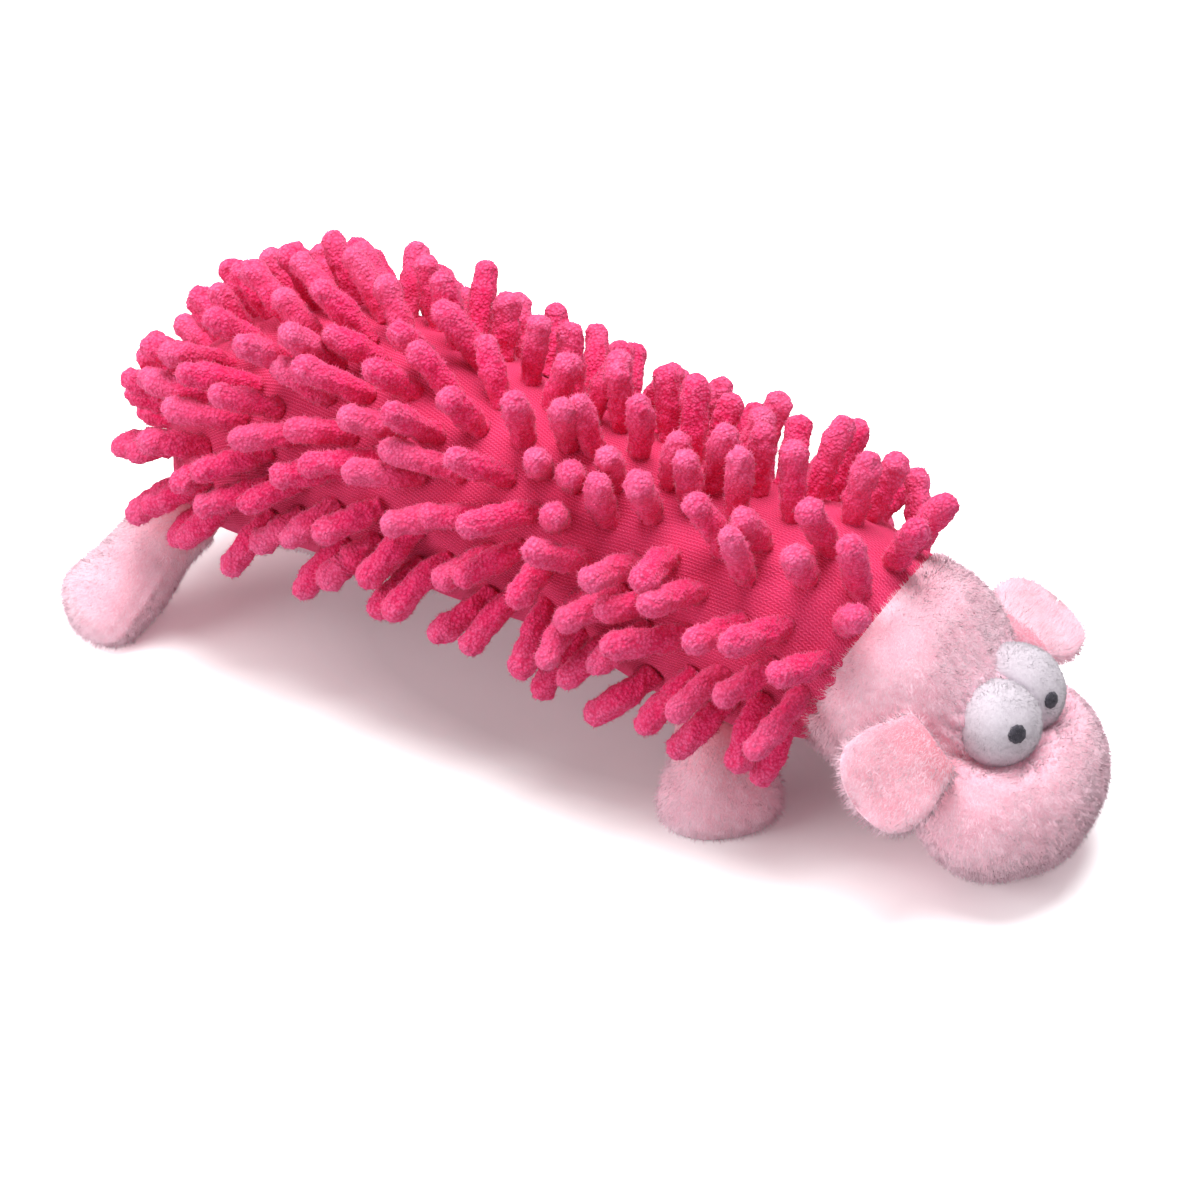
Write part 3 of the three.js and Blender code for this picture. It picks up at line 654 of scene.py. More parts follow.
def chenille_material():
    """Looped terry tufts: rounded grains, with painted shade darker between grains and painted light towards the
    tip of a finger and on the grain tops.
    """
    made, tree, shader, place = start_material("chenille_pink", 0.9, 0.5, linear(255, 140, 185))
    swirl = node(tree, "ShaderNodeTexNoise", {"Vector": place, "Scale": 1 / (2.5 * MM)}).outputs["Color"]
    warp = vector_maths(tree, "MULTIPLY_ADD", {0: swirl, 1: (0.8 * MM,) * 3, 2: place})
    grains = node(tree, "ShaderNodeTexVoronoi", {"Vector": warp, "Scale": 1 / (1.1 * MM)}, feature="F1")
    grain = spread(tree, grains.outputs["Distance"], 0.1, 0.75, 1.0, 0.0)
    fine = noise(tree, place, 0.35 * MM)
    patches = noise(tree, place, 9 * MM)
    # Painted shade: the colour is darker between the grains
    colour = mixed(tree, grain, linear(222, 30, 90), linear(252, 70, 130))
    # Painted light: lighter towards each finger's tip and on the grain tops, the darker root standing for shade
    # between fingers; the tone differs at random per finger
    tip = maths(tree, "MULTIPLY", spread(tree, attribute(tree, "along"), 0.35, 1.0), 0.55)
    tip = maths(tree, "ADD", tip, spread(tree, patches, 0.35, 0.7, -0.15, 0.2))
    tip = maths(tree, "MULTIPLY", tip, spread(tree, grain, 0.0, 1.0, 0.35, 1.0))
    tone = maths(tree, "MULTIPLY_ADD", attribute(tree, "tone"), 0.12, tip)
    light = node(tree, "ShaderNodeClamp", {0: tone}).outputs[0]
    colour = mixed(tree, light, colour, linear(255, 134, 182))
    height = maths(tree, "ADD", grain, maths(tree, "MULTIPLY", fine, 0.5))
    finish_material(tree, shader, colour, height, 0.5 * MM)
    return made


def knit_material():
    """Fine knitted backing: ribs along the body, broken by slanted stitches."""
    made, tree, shader, place = start_material("chenille_knit", 0.85, 0.15, linear(255, 150, 190))
    weave = node(tree, "ShaderNodeUVMap", uv_map="Weave").outputs[0]
    axes = node(tree, "ShaderNodeSeparateXYZ", {0: weave})
    around = axes.outputs[0]
    along = axes.outputs[1]
    wobble = maths(tree, "MULTIPLY", noise(tree, place, 7 * MM), 0.8)
    zigzag = maths(tree, "MULTIPLY", maths(tree, "PINGPONG", around, 1.0), 1.1)
    stitch = maths(tree, "SINE", maths(tree, "MULTIPLY", maths(tree, "ADD", along, zigzag), 2 * pi))
    rib = maths(tree, "COSINE", maths(tree, "MULTIPLY", maths(tree, "ADD", around, wobble), 2 * pi))
    raised = spread(tree, rib, -1, 1, 0.25, 1.0)
    pattern = maths(tree, "MULTIPLY", raised, spread(tree, stitch, -1, 1, 0.35, 1.0))
    colour = mixed(tree, pattern, linear(190, 24, 70), linear(255, 90, 142))
    patches = spread(tree, noise(tree, place, 14 * MM), 0.35, 0.7, 0.0, 0.25)
    colour = mixed(tree, patches, colour, linear(236, 64, 118))
    finish_material(tree, shader, colour, pattern, 0.35 * MM)
    return made


def plush_material(name, base, shade, pale, weight=0.5, reach=1.6 * MM, sheen=0.3):
    """Short cut pile: soft patches where the pile turns, fine streaks of fibre, pale pile tips partly painted as
    sheen, and redder seams and creases as painted shade.
    """
    made, tree, shader, place = start_material(name, 0.95, sheen)
    shader.inputs["Subsurface Weight"].default_value = weight
    shader.inputs["Subsurface Radius"].default_value = (1, 0.7, 0.75)
    shader.inputs["Subsurface Scale"].default_value = reach
    turn = {"Vector": place, "Rotation": (0.3, 0.5, 0.7), "Scale": (1, 0.35, 1)}
    fibre = noise(tree, node(tree, "ShaderNodeMapping", turn).outputs[0], 0.7 * MM)
    patches = noise(tree, place, 10 * MM)
    colour = mixed(tree, spread(tree, patches, 0.35, 0.65), linear(*base), linear(*shade))
    colour = mixed(tree, spread(tree, fibre, 0.35, 0.7, 0.0, 0.35), colour, linear(*pale))
    # Pale where the tip value is high: a random fibre tone, raised at each fibre's tip as a painted sheen
    tip = maths(tree, "MULTIPLY", attribute(tree, "tip"), 0.6)
    # Painted shade: redder colour in creases and seams where the seam value is high
    seam = maths(tree, "MULTIPLY", attribute(tree, "seam"), 0.55)
    colour = mixed(tree, tip, colour, linear(*pale))
    colour = mixed(tree, seam, colour, linear(240, 128, 146))
    height = maths(tree, "ADD", fibre, maths(tree, "MULTIPLY", patches, 0.6))
    finish_material(tree, shader, colour, height, 0.2 * MM)
    return made


def velour_material(name, base, shade, size):
    """Very short dense velour, with a faint mottle."""
    made, tree, shader, place = start_material(name, 0.9, 0.2)
    fibre = noise(tree, place, size)
    mottle = noise(tree, place, 1.3 * MM)
    colour = mixed(tree, spread(tree, mottle, 0.3, 0.7), linear(*base), linear(*shade))
    colour = mixed(tree, spread(tree, fibre, 0.3, 0.7, 0.0, 0.35), colour, linear(*shade))
    finish_material(tree, shader, colour, fibre, 0.15 * MM)
    return made


def fibre_material():
    made, tree, shader, place = start_material("fibre_white", 1.0, 0.3)
    strands = noise(tree, place, 1.2 * MM, 5.0)
    colour = mixed(tree, strands, linear(228, 228, 224), linear(250, 250, 247))
    finish_material(tree, shader, colour, strands, 0.8 * MM)
    return made


def plastic_material(name, base, shade):
    """Moulded plastic with a faint cloudiness and fine scuffs."""
    made, tree, shader, place = start_material(name, 0.35, 0.0, specular=0.5)
    scuffs = noise(tree, place, 0.4 * MM)
    colour = mixed(tree, noise(tree, place, 5 * MM), linear(*base), linear(*shade))
    tree.links.new(spread(tree, scuffs, 0.3, 0.7, 0.28, 0.45), shader.inputs["Roughness"])
    finish_material(tree, shader, colour, scuffs, 0.03 * MM)
    return made


CHENILLE = chenille_material()
KNIT = knit_material()
PLUSH = plush_material("plush_pink", (246, 187, 204), (239, 170, 189), (252, 217, 229))
PLUSH_PILE = plush_material(
    "plush_pile", (249, 197, 214), (243, 180, 200), (255, 230, 240), weight=0.0, reach=0.4 * MM, sheen=0.0)
FUZZ = velour_material("chenille_fuzz", (255, 104, 158), (246, 66, 126), 0.8 * MM)
BELLY = plush_material("belly_pink", (248, 180, 200), (240, 164, 188), (255, 212, 226))
EYE_WHITE = velour_material("eye_white", (219, 210, 219), (206, 196, 206), 0.35 * MM)
PUPIL_GREY = velour_material("pupil_grey", (52, 50, 58), (84, 80, 90), 0.4 * MM)
FIBRE = fibre_material()
SQUEAKER = plastic_material("squeaker_plastic", (232, 235, 238), (218, 223, 230))
REED = plastic_material("reed_plastic", (201, 206, 214), (186, 192, 202))


def dress(made, material):
    made.data.materials.clear()
    made.data.materials.append(material)
    return made


# Pile: short closed spikes on a skin
def skin_samples(made, density, seed, wanted=None):
    """Random points of a skin, with their normals; wanted says at which places."""
    rng = np.random.default_rng(seed)
    mesh = made.data
    mesh.calc_loop_triangles()
    triangles = np.zeros(len(mesh.loop_triangles) * 3, np.int32)
    mesh.loop_triangles.foreach_get("vertices", triangles)
    triangles = triangles.reshape(-1, 3)
    points = vertex_values(made, "co")
    normals = vertex_values(made, "normal")
    a, b, c = (points[triangles[:, k]] for k in range(3))
    areas = np.linalg.norm(np.cross(b - a, c - a), axis=1) / 2
    if wanted is not None:
        areas = areas * wanted((a + b + c) / 3)
    count = int(areas.sum() * density / MM**2)
    chosen = rng.choice(len(triangles), count, p=areas / areas.sum())
    u, v = rng.random((2, count))
    over = u + v > 1
    u[over], v[over] = 1 - u[over], 1 - v[over]
    corners = triangles[chosen]
    weights = np.stack([1 - u - v, u, v], -1)[..., None]
    return (points[corners] * weights).sum(1), unit((normals[corners] * weights).sum(1)), rng


def spikes(name, roots, normals, lean, length, rng, material, rows=0):
    """One closed three-sided spike at each root, leaning as combed and shaded like its skin."""
    count = len(roots)
    direction = unit(normals + lean + rng.normal(scale=PILE_SCATTER, size=(count, 3)))
    side = unit(np.cross(direction, unit(rng.normal(size=(count, 3)))))
    other = np.cross(direction, side)
    least, more = PILE_LENGTH_SHARES
    reach = length * (least + more * rng.random((count, 1)) ** 2)
    base = roots - normals * PILE_WIDTH
    points = np.empty((count, 4, 3))
    for k in range(3):
        turn = 2 * pi * k / 3
        points[:, k] = base + (side * cos(turn) + other * sin(turn)) * PILE_WIDTH
    points[:, 3] = roots + direction * reach
    points[..., 2] = np.maximum(points[..., 2], HAIR_FLOOR_GAP)
    first = np.arange(count)[:, None] * 4
    faces = np.concatenate([first + np.array(f) for f in ((0, 1, 3), (1, 2, 3), (2, 0, 3), (2, 1, 0))])
    cells = int(np.ceil(sqrt(count)))
    cell = np.stack([np.arange(count) % cells, np.arange(count) // cells], -1)[:, None] / cells
    corner = np.array(((0.2, 0.2), (0.8, 0.2), (0.5, 0.8))) / cells
    made = mesh_object(name, points.reshape(-1, 3), [faces], [np.concatenate([cell + corner] * 4)])
    tilt = np.stack([ripples(roots, PILE_CLUMP, 300 + k) for k in range(3)], -1)
    across = unit(np.array(PILE_ROW_AXIS))
    worn = smoothstep(ripples(roots, PILE_ROW_WEAR, 305), -0.8, 0.6)
    sway = ripples(roots, PILE_ROW_SWAY, 306)
    row = rows * worn * np.sin(2 * pi * (roots @ across) / PILE_ROW + sway)
    shown = unit(normals + PILE_TILT * tilt + (0, 0, PILE_RISE) + row[:, None] * across)
    middle, clump, fleck = PILE_TONES
    tone = middle + clump * ripples(roots, PILE_CLUMP, 310) + row + rng.normal(scale=fleck, size=count)
    # The tone differs at random, in clumps and in rows; it is raised towards each spike's tip as a painted sheen
    point_values(made, "tip", np.clip(tone, 0, 1)[:, None] * PILE_PAINTED_TIP_SHARES)
    made.data.normals_split_custom_set_from_vertices(np.repeat(shown, 4, axis=0).tolist())
    made.visible_shadow = False
    made.visible_diffuse = False
    return dress(made, PLUSH_PILE if material is PLUSH else material)


# Body cover and belly
def cover_rows():
    end = TRUNK_ARC - COVER_END_GAP
    return np.concatenate([[COVER_START], np.arange(COVER_STEP, end - 0.5 * COVER_STEP, COVER_STEP), [end]])


def make_cover(roots):
    """The knitted backing, open below for the belly panel, drawn in where each finger is sewn."""
    arcs = cover_rows()
    gap = belly_gap(arcs)[:, None]
    share = np.linspace(0, 1, COVER_COLUMNS)[None, :]
    angle = -pi / 2 + gap + share * (2 * pi - 2 * gap)
    arc = np.broadcast_to(arcs[:, None], angle.shape)
    wave = np.sin(7 * angle + 2 * np.sin(4 * angle))
    arc = arc + faded(arcs[-1] - arc, END_WAVE) * wave
    normal = trunk_normal(arc, angle)
    points = trunk_point(arc, angle)
    flat = points.reshape(-1, 3)
    nearest = np.full(len(flat), np.inf)
    for root in roots:
        nearest = np.minimum(nearest, np.linalg.norm(flat - root, axis=1))
    lift = lumps(flat, COVER_LUMPS) - faded(nearest, PUCKER)
    gathers = np.sin(END_GATHERS * angle + 2 * np.sin(3 * angle))
    neck = faded(arcs[-1] - arc, END_GATHER) * gathers
    edge = np.minimum(share, 1 - share) * (2 * pi - 2 * gap) * TRUNK_RADIUS
    hem = faded(edge, HEM) * (gap > 0)
    raised = lift.reshape(angle.shape) * smoothstep(arc, 0, COVER_CALM_REACH) + neck - hem
    points = clear_of_joints((points + normal * raised[..., None]).reshape(-1, 3))
    pole = trunk_point(np.array([0.0]), np.array([0.0]))
    rows = len(arcs)
    quads = grid_quads(rows, COVER_COLUMNS, False)[:, ::-1]
    faces = [quads, fan(rows * COVER_COLUMNS, 0, COVER_COLUMNS - 1, True)]
    made = mesh_object("body_cover", np.concatenate([points, pole]), faces)
    weave = np.stack([angle * radius_at(arc), arc], -1).reshape(-1, 2) / KNIT_PITCH
    corners = np.zeros(len(made.data.loops), np.int32)
    made.data.loops.foreach_get("vertex_index", corners)
    set_uv(made.data, "Weave", np.concatenate([weave, [[0, 0]]])[corners])
    weld(made)
    thicken(made, COVER_WALL)
    dress(made, KNIT)
    return made


def make_belly():
    """The plush panel below, with its edges tucked behind the cover."""
    start = arc_at(BELLY_START - BELLY_TUCK)
    rows, columns = BELLY_GRID
    arcs = np.linspace(start, TRUNK_ARC - BELLY_END_GAP, rows)
    radius = radius_at(arcs)
    half = (belly_gap(arcs) + BELLY_TUCK / radius)[:, None]
    share = np.linspace(-1, 1, columns)[None, :]
    angle = -pi / 2 + half * share
    arc = np.broadcast_to(arcs[:, None], angle.shape)
    edge = np.minimum((1 - np.abs(share)) * half * radius[:, None], arc - start)
    sink = BELLY_SINK * (1 - smoothstep(edge, *BELLY_SINK_REACHES)) + BELLY_REST_SINK
    points = (trunk_point(arc, angle) - trunk_normal(arc, angle) * sink[..., None]).reshape(-1, 3)
    points[:, 2] += lumps(points, BELLY_LUMPS)
    made = mesh_object("belly_panel", clear_of_joints(points), [grid_quads(rows, columns, False)])
    weld(made)
    low = spine_height(0) - BELLY_PILE_TOP
    roots, normals, rng = skin_samples(made, BELLY_PILE_DENSITY, 21, lambda p: p[:, 2] < low)
    down = normals[:, 2] < 0.3
    pile = spikes(
        "belly_pile", roots[down], normals[down], BELLY_COMB, PILE_LENGTH, rng, BELLY)
    thicken(made, BELLY_WALL)
    dress(made, BELLY)
    return [made, pile]


# Chenille fingers
def scatter(row, column, channel):
    """A repeatable share from -1 to 1 for each finger and each use."""
    row_share, column_share, channel_share, reach = HASH_SHARES
    value = sin(row * row_share + column * column_share + channel * channel_share) * reach
    return (value - floor(value)) * 2 - 1


def combing(height, shares, heights):
    """How far fingers are combed to the rear, for the height that the surface faces."""
    flank, top = shares
    return flank + (top - flank) * smoothstep(height, *heights)


def finger_lean(arc, height):
    change = smoothstep(arc / TRUNK_ARC, *LEAN_CHANGE_SHARES)
    rear = combing(height, REAR_LEAN_SHARES, REAR_LEAN_HEIGHTS)
    return rear + (combing(height, FRONT_LEAN_SHARES, FRONT_LEAN_HEIGHTS) - rear) * change


def leg_distance(base, tip):
    """The least distance from a finger's middle line to any leg, anywhere in its swing."""
    line = tip - base
    least = np.inf
    for leg in LEGS:
        share = np.linspace(0, 1, 13)[:, None]
        reach = leg["root"] + (leg["foot"][0] - leg["root"]) * share[:, 0]
        for swing in (-LEG_SWING, 0, LEG_SWING):
            direction = np.array(Matrix.Rotation(swing, 3, "Y") @ Vector(leg["direction"]))
            points = leg["pivot"] + direction * leg["length"] * share
            t = np.clip((points - base) @ line / (line @ line), 0, 1)[:, None]
            least = min(least, (np.linalg.norm(base + line * t - points, axis=1) - reach).min())
    return least


def make_one_finger(row, column, arc, angle, freedom):
    """A finger's place and form, or nothing where every lean would meet a leg."""
    base = trunk_point(arc, angle)
    normal = trunk_normal(arc, angle)
    length = FINGER_LENGTH * (1 + FINGER_LENGTH_SHARE * scatter(row, column, 0))
    length *= 1 - FINGER_RUMP_SHARE * abs(normal[0])
    aside = 1 - abs(normal[0])
    direction = normal.copy()
    direction[0] -= finger_lean(arc, normal[2]) * aside * freedom
    direction[0] += FINGER_SCATTER_SHARE * scatter(row, column, 1)
    direction += np.cross(normal, (1, 0, 0)) * FINGER_SCATTER_SHARE * scatter(row, column, 2)
    droop = 1 - smoothstep(normal[2], *FINGER_DROOP_HEIGHTS)
    direction[2] -= FINGER_DROOP_SHARE * droop * aside
    direction = unit(direction)
    bend = FINGER_BEND_SHARE * np.array([scatter(row, column, channel) for channel in (5, 6, 7)])
    bend[2] -= FINGER_HANG_SHARE * droop
    thickness = FINGER_RADIUS * (1 + FINGER_THICKNESS_SHARE * scatter(row, column, 8))
    for lift in np.linspace(0, 1, FINGER_LIFTS + 1):
        aim = unit(direction + (normal - direction) * lift)
        if leg_distance(base, base + aim * length) > FINGER_RADIUS + FINGER_CLEARANCE:
            return [(arc, base, normal, aim, bend, length, thickness, scatter(row, column, 9))]
    return []


def finger_row(row, arc, start, end, freedom=1.0):
    sweep = pi / 2 - FINGER_LOWEST
    radius = radius_at(arc)
    count = max(round(sweep * radius / FINGER_SPACING), 1)
    stagger = (row % 2) / 2
    far, near = FINGER_NECK_REACHES
    fingers = []
    for step in range(count + 1 - row % 2):
        for column in {step + stagger, -step - stagger}:
            spot = np.clip(arc + FINGER_JITTER * scatter(row, column, 3), start, end)
            spot -= FINGER_NECK_SHIFT * smoothstep(spot, TRUNK_ARC - far, TRUNK_ARC - near)
            turn = column * sweep / count + FINGER_JITTER / radius * scatter(row, column, 4)
            fingers += make_one_finger(row, column, spot, pi / 2 - turn, freedom)
    return fingers


def finger_rows(first_row, start, end, reach=0):
    """Rows of fingers; within the reach of the start they are combed less."""
    count = round((end - start) / FINGER_SPACING)
    fingers = []
    for i in range(count + 1):
        arc = start + i / count * (end - start)
        freedom = min((arc - start) / reach, 1) if reach else 1
        fingers += finger_row(first_row + i, arc, start, end, freedom)
    return fingers


def lay_fingers():
    """All fingers: the rows of the solid model, and one more row over the soft waist."""
    waist_x = WAIST_SHARE * TRUNK_LENGTH
    waist_radius = radius_at(arc_at(waist_x))
    rim = sqrt((WAIST_BALL_SHARE * waist_radius + BALL_GAP) ** 2 - waist_radius**2)
    rear_end = arc_at(waist_x - rim - FINGER_RADIUS - FINGER_CLEARANCE)
    loss = (TRUNK_RADIUS * sin(WAIST_BEND) + FINGER_RADIUS - rim) / cos(WAIST_BEND)
    front_start = arc_at(waist_x + loss + FINGER_CLEARANCE)
    first_front = round(rear_end / FINGER_SPACING) + 1
    rear = finger_rows(0, FINGER_FIRST_RING, rear_end)
    front = finger_rows(first_front, front_start, TRUNK_ARC - FINGER_NECK_BAND, WAIST_LEAN_REACH)
    middle_arc = (rear_end + front_start) / 2
    return rear + front + finger_row(first_front + MIDDLE_ROW, middle_arc, rear_end, front_start)


def finger_points(finger, rng):
    """Rings of points down one bent finger, ending in a round tip, with a grainy surface."""
    _, base, normal, direction, bend, length, thickness, _ = finger
    tip_start = 1 - thickness / length
    body = np.linspace(-FINGER_SINK / length, tip_start, FINGER_RINGS - FINGER_TIP_RINGS)
    turn = np.linspace(0, pi / 2, FINGER_TIP_RINGS + 2)[1:-1]
    t = np.concatenate([body, tip_start + (1 - tip_start) * np.sin(turn)])
    root_girth = FINGER_ROOT_SHARE + (1 - FINGER_ROOT_SHARE) * smoothstep(body, 0, 0.4)
    girth = np.concatenate([root_girth, np.cos(turn)])
    bend = bend - direction * (bend @ direction)
    lead = (normal - direction) * FINGER_LEAD_SHARE
    line = lambda s: direction * s + lead * (s * (1 - s)) + bend * (s * s * 0.5)
    place = base + length * line(t[:, None])
    tangent = unit(direction + lead * (1 - 2 * t[:, None]) + bend * t[:, None])
    side = unit(np.cross(tangent, direction[[1, 2, 0]] + 0.1))
    other = np.cross(tangent, side)
    grain = rng.normal(size=(len(t), FINGER_SIDES))
    grain = grain + 0.5 * (np.roll(grain, 1, 1) + np.roll(grain, -1, 1))
    grain[1:-1] = grain[1:-1] + 0.5 * (grain[:-2] + grain[2:])
    swell = FINGER_SWELL_SHARE * np.sin(t * rng.uniform(9, 15) + rng.uniform(0, 6))[:, None]
    radius = (thickness * girth[:, None] * (1 + swell) + FINGER_GRAIN * grain)[..., None]
    angle = full_turn(FINGER_SIDES)[None, :, None]
    rings = place[:, None] + radius * (side[:, None] * np.cos(angle) + other[:, None] * np.sin(angle))
    ends = np.stack([place[0], base + length * line(1.0)])
    along = np.concatenate([np.repeat(np.clip(t, 0, 1), FINGER_SIDES), [0, 1]])
    return np.concatenate([rings.reshape(-1, 3), ends]), along


def sheet_corners(column, row, steps):
    """Places on an unrolled sheet of each face's corners, in steps from the face's own cell."""
    row = np.broadcast_to(row, column.shape)
    return np.stack([np.stack([column + right, row + up], -1) for right, up in steps], 1)


def finger_uv(cell, cells):
    """Bake map of one finger: its rings unrolled in one cell of a square sheet."""
    sides = np.arange(FINGER_SIDES)
    row, column = (part.ravel() for part in np.meshgrid(np.arange(FINGER_RINGS - 1), sides, indexing="ij"))
    parts = (
        sheet_corners(column, row, ((0, 0), (1, 0), (1, 1), (0, 1))),
        sheet_corners(sides, 0, ((0.5, -1), (1, 0), (0, 0))),
        sheet_corners(sides, FINGER_RINGS - 1, ((0.5, 1), (0, 0), (1, 0))),
    )
    scale = np.array((FINGER_SIDES, FINGER_RINGS + 2))
    corner = np.array((cell % cells, cell // cells))
    return [(corner + 0.03 + 0.94 * (part + (0, 1.2)) / scale) / cells for part in parts]


def make_finger_band(name, fingers, seed):
    """One piece of many fingers, and one of the fuzz on them."""
    rng = np.random.default_rng(seed)
    cells = int(np.ceil(sqrt(len(fingers))))
    size = FINGER_RINGS * FINGER_SIDES + 2
    shapes = [finger_points(finger, rng) for finger in fingers]
    faces = ring_faces(FINGER_RINGS, FINGER_SIDES)
    blocks = [[part + k * size for part in faces] for k in range(len(fingers))]
    uvs = [finger_uv(k, cells) for k in range(len(fingers))]
    faces, uv = ([np.concatenate(parts) for parts in zip(*group)] for group in (blocks, uvs))
    made = mesh_object(name, np.concatenate([points for points, _ in shapes]), faces, uv)
    point_values(made, "along", np.concatenate([along for _, along in shapes]))
    point_values(made, "tone", np.repeat([finger[-1] for finger in fingers], size))
    roots, normals, rng = skin_samples(made, FINGER_FUZZ_DENSITY, seed + 50)
    fuzz = spikes(name + "_fuzz", roots, normals, np.zeros(3), FINGER_FUZZ, rng, FUZZ)
    return [dress(made, CHENILLE), fuzz]


def make_fingers(fingers):
    """Bands of fingers from the rump to the neck, each band one piece."""
    fingers = sorted(fingers, key=lambda finger: finger[0])
    size = -(-len(fingers) // FINGER_BANDS)
    pieces = []
    for k in range(FINGER_BANDS):
        pieces += make_finger_band(f"fingers_{k + 1}", fingers[k * size:(k + 1) * size], 100 + k)
    return pieces


# Head
def eye_centre(side):
    return np.array((HEAD[0] + EYE_FORWARD, side * EYE_SPACING / 2, EYE_HEIGHT))


def ball_depth(points):
    return np.linalg.norm(points - HEAD, axis=-1) - HEAD_BALL


def ball_normal(points):
    return unit(points - HEAD)


def muzzle_depth(points):
    reach = np.linalg.norm((points - MUZZLE) / MUZZLE_HALF, axis=-1)
    return (reach - 1) * MUZZLE_HALF.min()


def muzzle_normal(points):
    return unit((points - MUZZLE) / MUZZLE_HALF**2)


def along_neck(points):
    return (points - HEAD) @ NECK_AXIS


def soften_head(points, normals, other_depth, other_normal):
    """Fills the valley between ball and muzzle, gathers it, and lowers the skin round the eyes."""
    depth = other_depth(points)
    near = np.clip(1 - np.abs(depth) / FILLET_REACH, 0, 1)
    towards = unit(normals * (1 - near / 2)[:, None] + other_normal(points) * (near / 2)[:, None])
    hidden = smoothstep(-depth, 0, SEAM_ALLOWANCE)
    fill = FILLET_REACH / 4 * near**2 * (1 - FILLET_HIDDEN_SHARE * hidden)
    about = np.arctan2(points[:, 2] - HEAD[2], points[:, 1])
    gather = np.sin(GATHERS * about + 3 * np.sin(2.7 * about))
    crease = faded(depth, CREASE) + gather * faded(depth, GATHER)
    seam = faded(points[:, 2] - CHIN_SEAM, CHIN_DENT)
    place = along_neck(points)
    neck = NECK_TUCK * (1 - smoothstep(place, SLEEVE_END, SLEEVE_END + NECK_TUCK_REACH))
    puff = faded(place + CHEEK_BEHIND, CHEEK_PUFF) * np.abs(points[:, 1] / HEAD_BALL)
    raised = lumps(points, HEAD_LUMPS) + puff - crease - seam - neck
    points = points + towards * fill[:, None] + normals * raised[:, None]
    points[:, 1] *= 1 - CHIN_TAPER * (1 - smoothstep(points[:, 2], 0, MUZZLE[2]))
    for side in (1, -1):
        offset = points - eye_centre(side)
        rim = np.linalg.norm(offset, axis=1) - EYE_RADIUS
        about = np.arctan2(offset[:, 1], offset[:, 2])
        gather = np.sin(EYE_GATHERS * about + 2 * np.sin(2.3 * about))
        points = points + normals * (gather * faded(rim - EYE_GATHER_PLACE, EYE_GATHER))[:, None]
    points = lower_round_eyes(points, 2 * EYE_GAP)
    points[:, 2] = np.maximum(points[:, 2], SKIN_FLOOR_GAP)
    return points


def lower_round_eyes(points, gap):
    """Sinks a wide bowl under the eyes and keeps the given gap to them."""
    bowl = np.zeros(len(points))
    for side in (1, -1):
        flat = np.linalg.norm((points - eye_centre(side))[:, :2], axis=1)
        bowl = np.maximum(bowl, BOWL_DEPTH * (1 - smoothstep(flat, *BOWL_REACHES)))
    points[:, 2] -= bowl * smoothstep(points[:, 2], MUZZLE[2], MUZZLE[2] + BOWL_TOP_SHARE * MUZZLE_HALF[2])
    for side in (1, -1):
        points = push_out(points, eye_centre(side), EYE_RADIUS + gap)
    return points


def ball_grid(centre, half, axis, rows, columns):
    """Points and outward normals of an ellipsoid, in rings round an axis, pole to pole."""
    axis = unit(np.array(axis, float))
    side = unit(np.cross(axis, (0, 1, 0)))
    other = np.cross(axis, side)
    polar = np.linspace(0, pi, rows + 2)[1:-1, None, None]
    around = full_turn(columns)[None, :, None]
    direction = np.cos(polar) * axis + np.sin(polar) * np.cos(around) * side
    direction = direction + np.sin(polar) * np.sin(around) * other
    direction = np.concatenate([direction.reshape(-1, 3), [axis], [-axis]])
    return centre + direction * half, unit(direction / half), ring_faces(rows, columns)


def keep_faces(points, faces, keep, values):
    """Only the faces whose corners are all kept, with unused points and their values dropped."""
    faces = [part[keep[part].all(1)] for part in faces]
    used = np.unique(np.concatenate([part.ravel() for part in faces]))
    place = np.full(len(points), -1)
    place[used] = np.arange(len(used))
    return points[used], [place[part] for part in faces], values[used]


def neck_sleeve(points, normals):
    """Draws the back of the head ball out to a sleeve that ends under the cover."""
    behind = along_neck(points)
    outward = unit(points - HEAD - behind[:, None] * NECK_AXIS)
    turn = np.arcsin(np.clip(-behind / HEAD_BALL, 0, 1))
    place = np.where(behind < 0, SLEEVE_END * turn / (pi / 2) * SLEEVE_STRETCH, behind)
    end_radius = radius_at(TRUNK_ARC - COVER_END_GAP)
    radius = HEAD_BALL + (end_radius - HEAD_BALL) * np.clip(place / SLEEVE_END, 0, 1)
    drawn = HEAD + place[:, None] * NECK_AXIS + outward * radius[:, None]
    back = (behind < 0)[:, None]
    return np.where(back, drawn, points), np.where(back, outward, normals)


def head_skin(name, centre, half, axis, other_depth, other_normal, sleeve=False):
    """One skin of the head, cut where it goes inside the other; the ball has the neck's sleeve."""
    points, normals, faces = ball_grid(centre, half, axis, *HEAD_GRID)
    if sleeve:
        points, normals = neck_sleeve(points, normals)
    depth = other_depth(points)
    keep = depth > -SEAM_ALLOWANCE
    if sleeve:
        keep &= along_neck(points) > SLEEVE_END
    points = soften_head(points, normals, other_depth, other_normal)
    # Painted shade: this seam value makes the colour redder near the crease with the other skin
    seam = hump(depth, SEAM_SHADE_REACH)
    points, faces, seam = keep_faces(points, flipped(faces), keep, seam)
    made = mesh_object(name, points, faces)
    point_values(made, "seam", seam)
    weld(made)
    return made


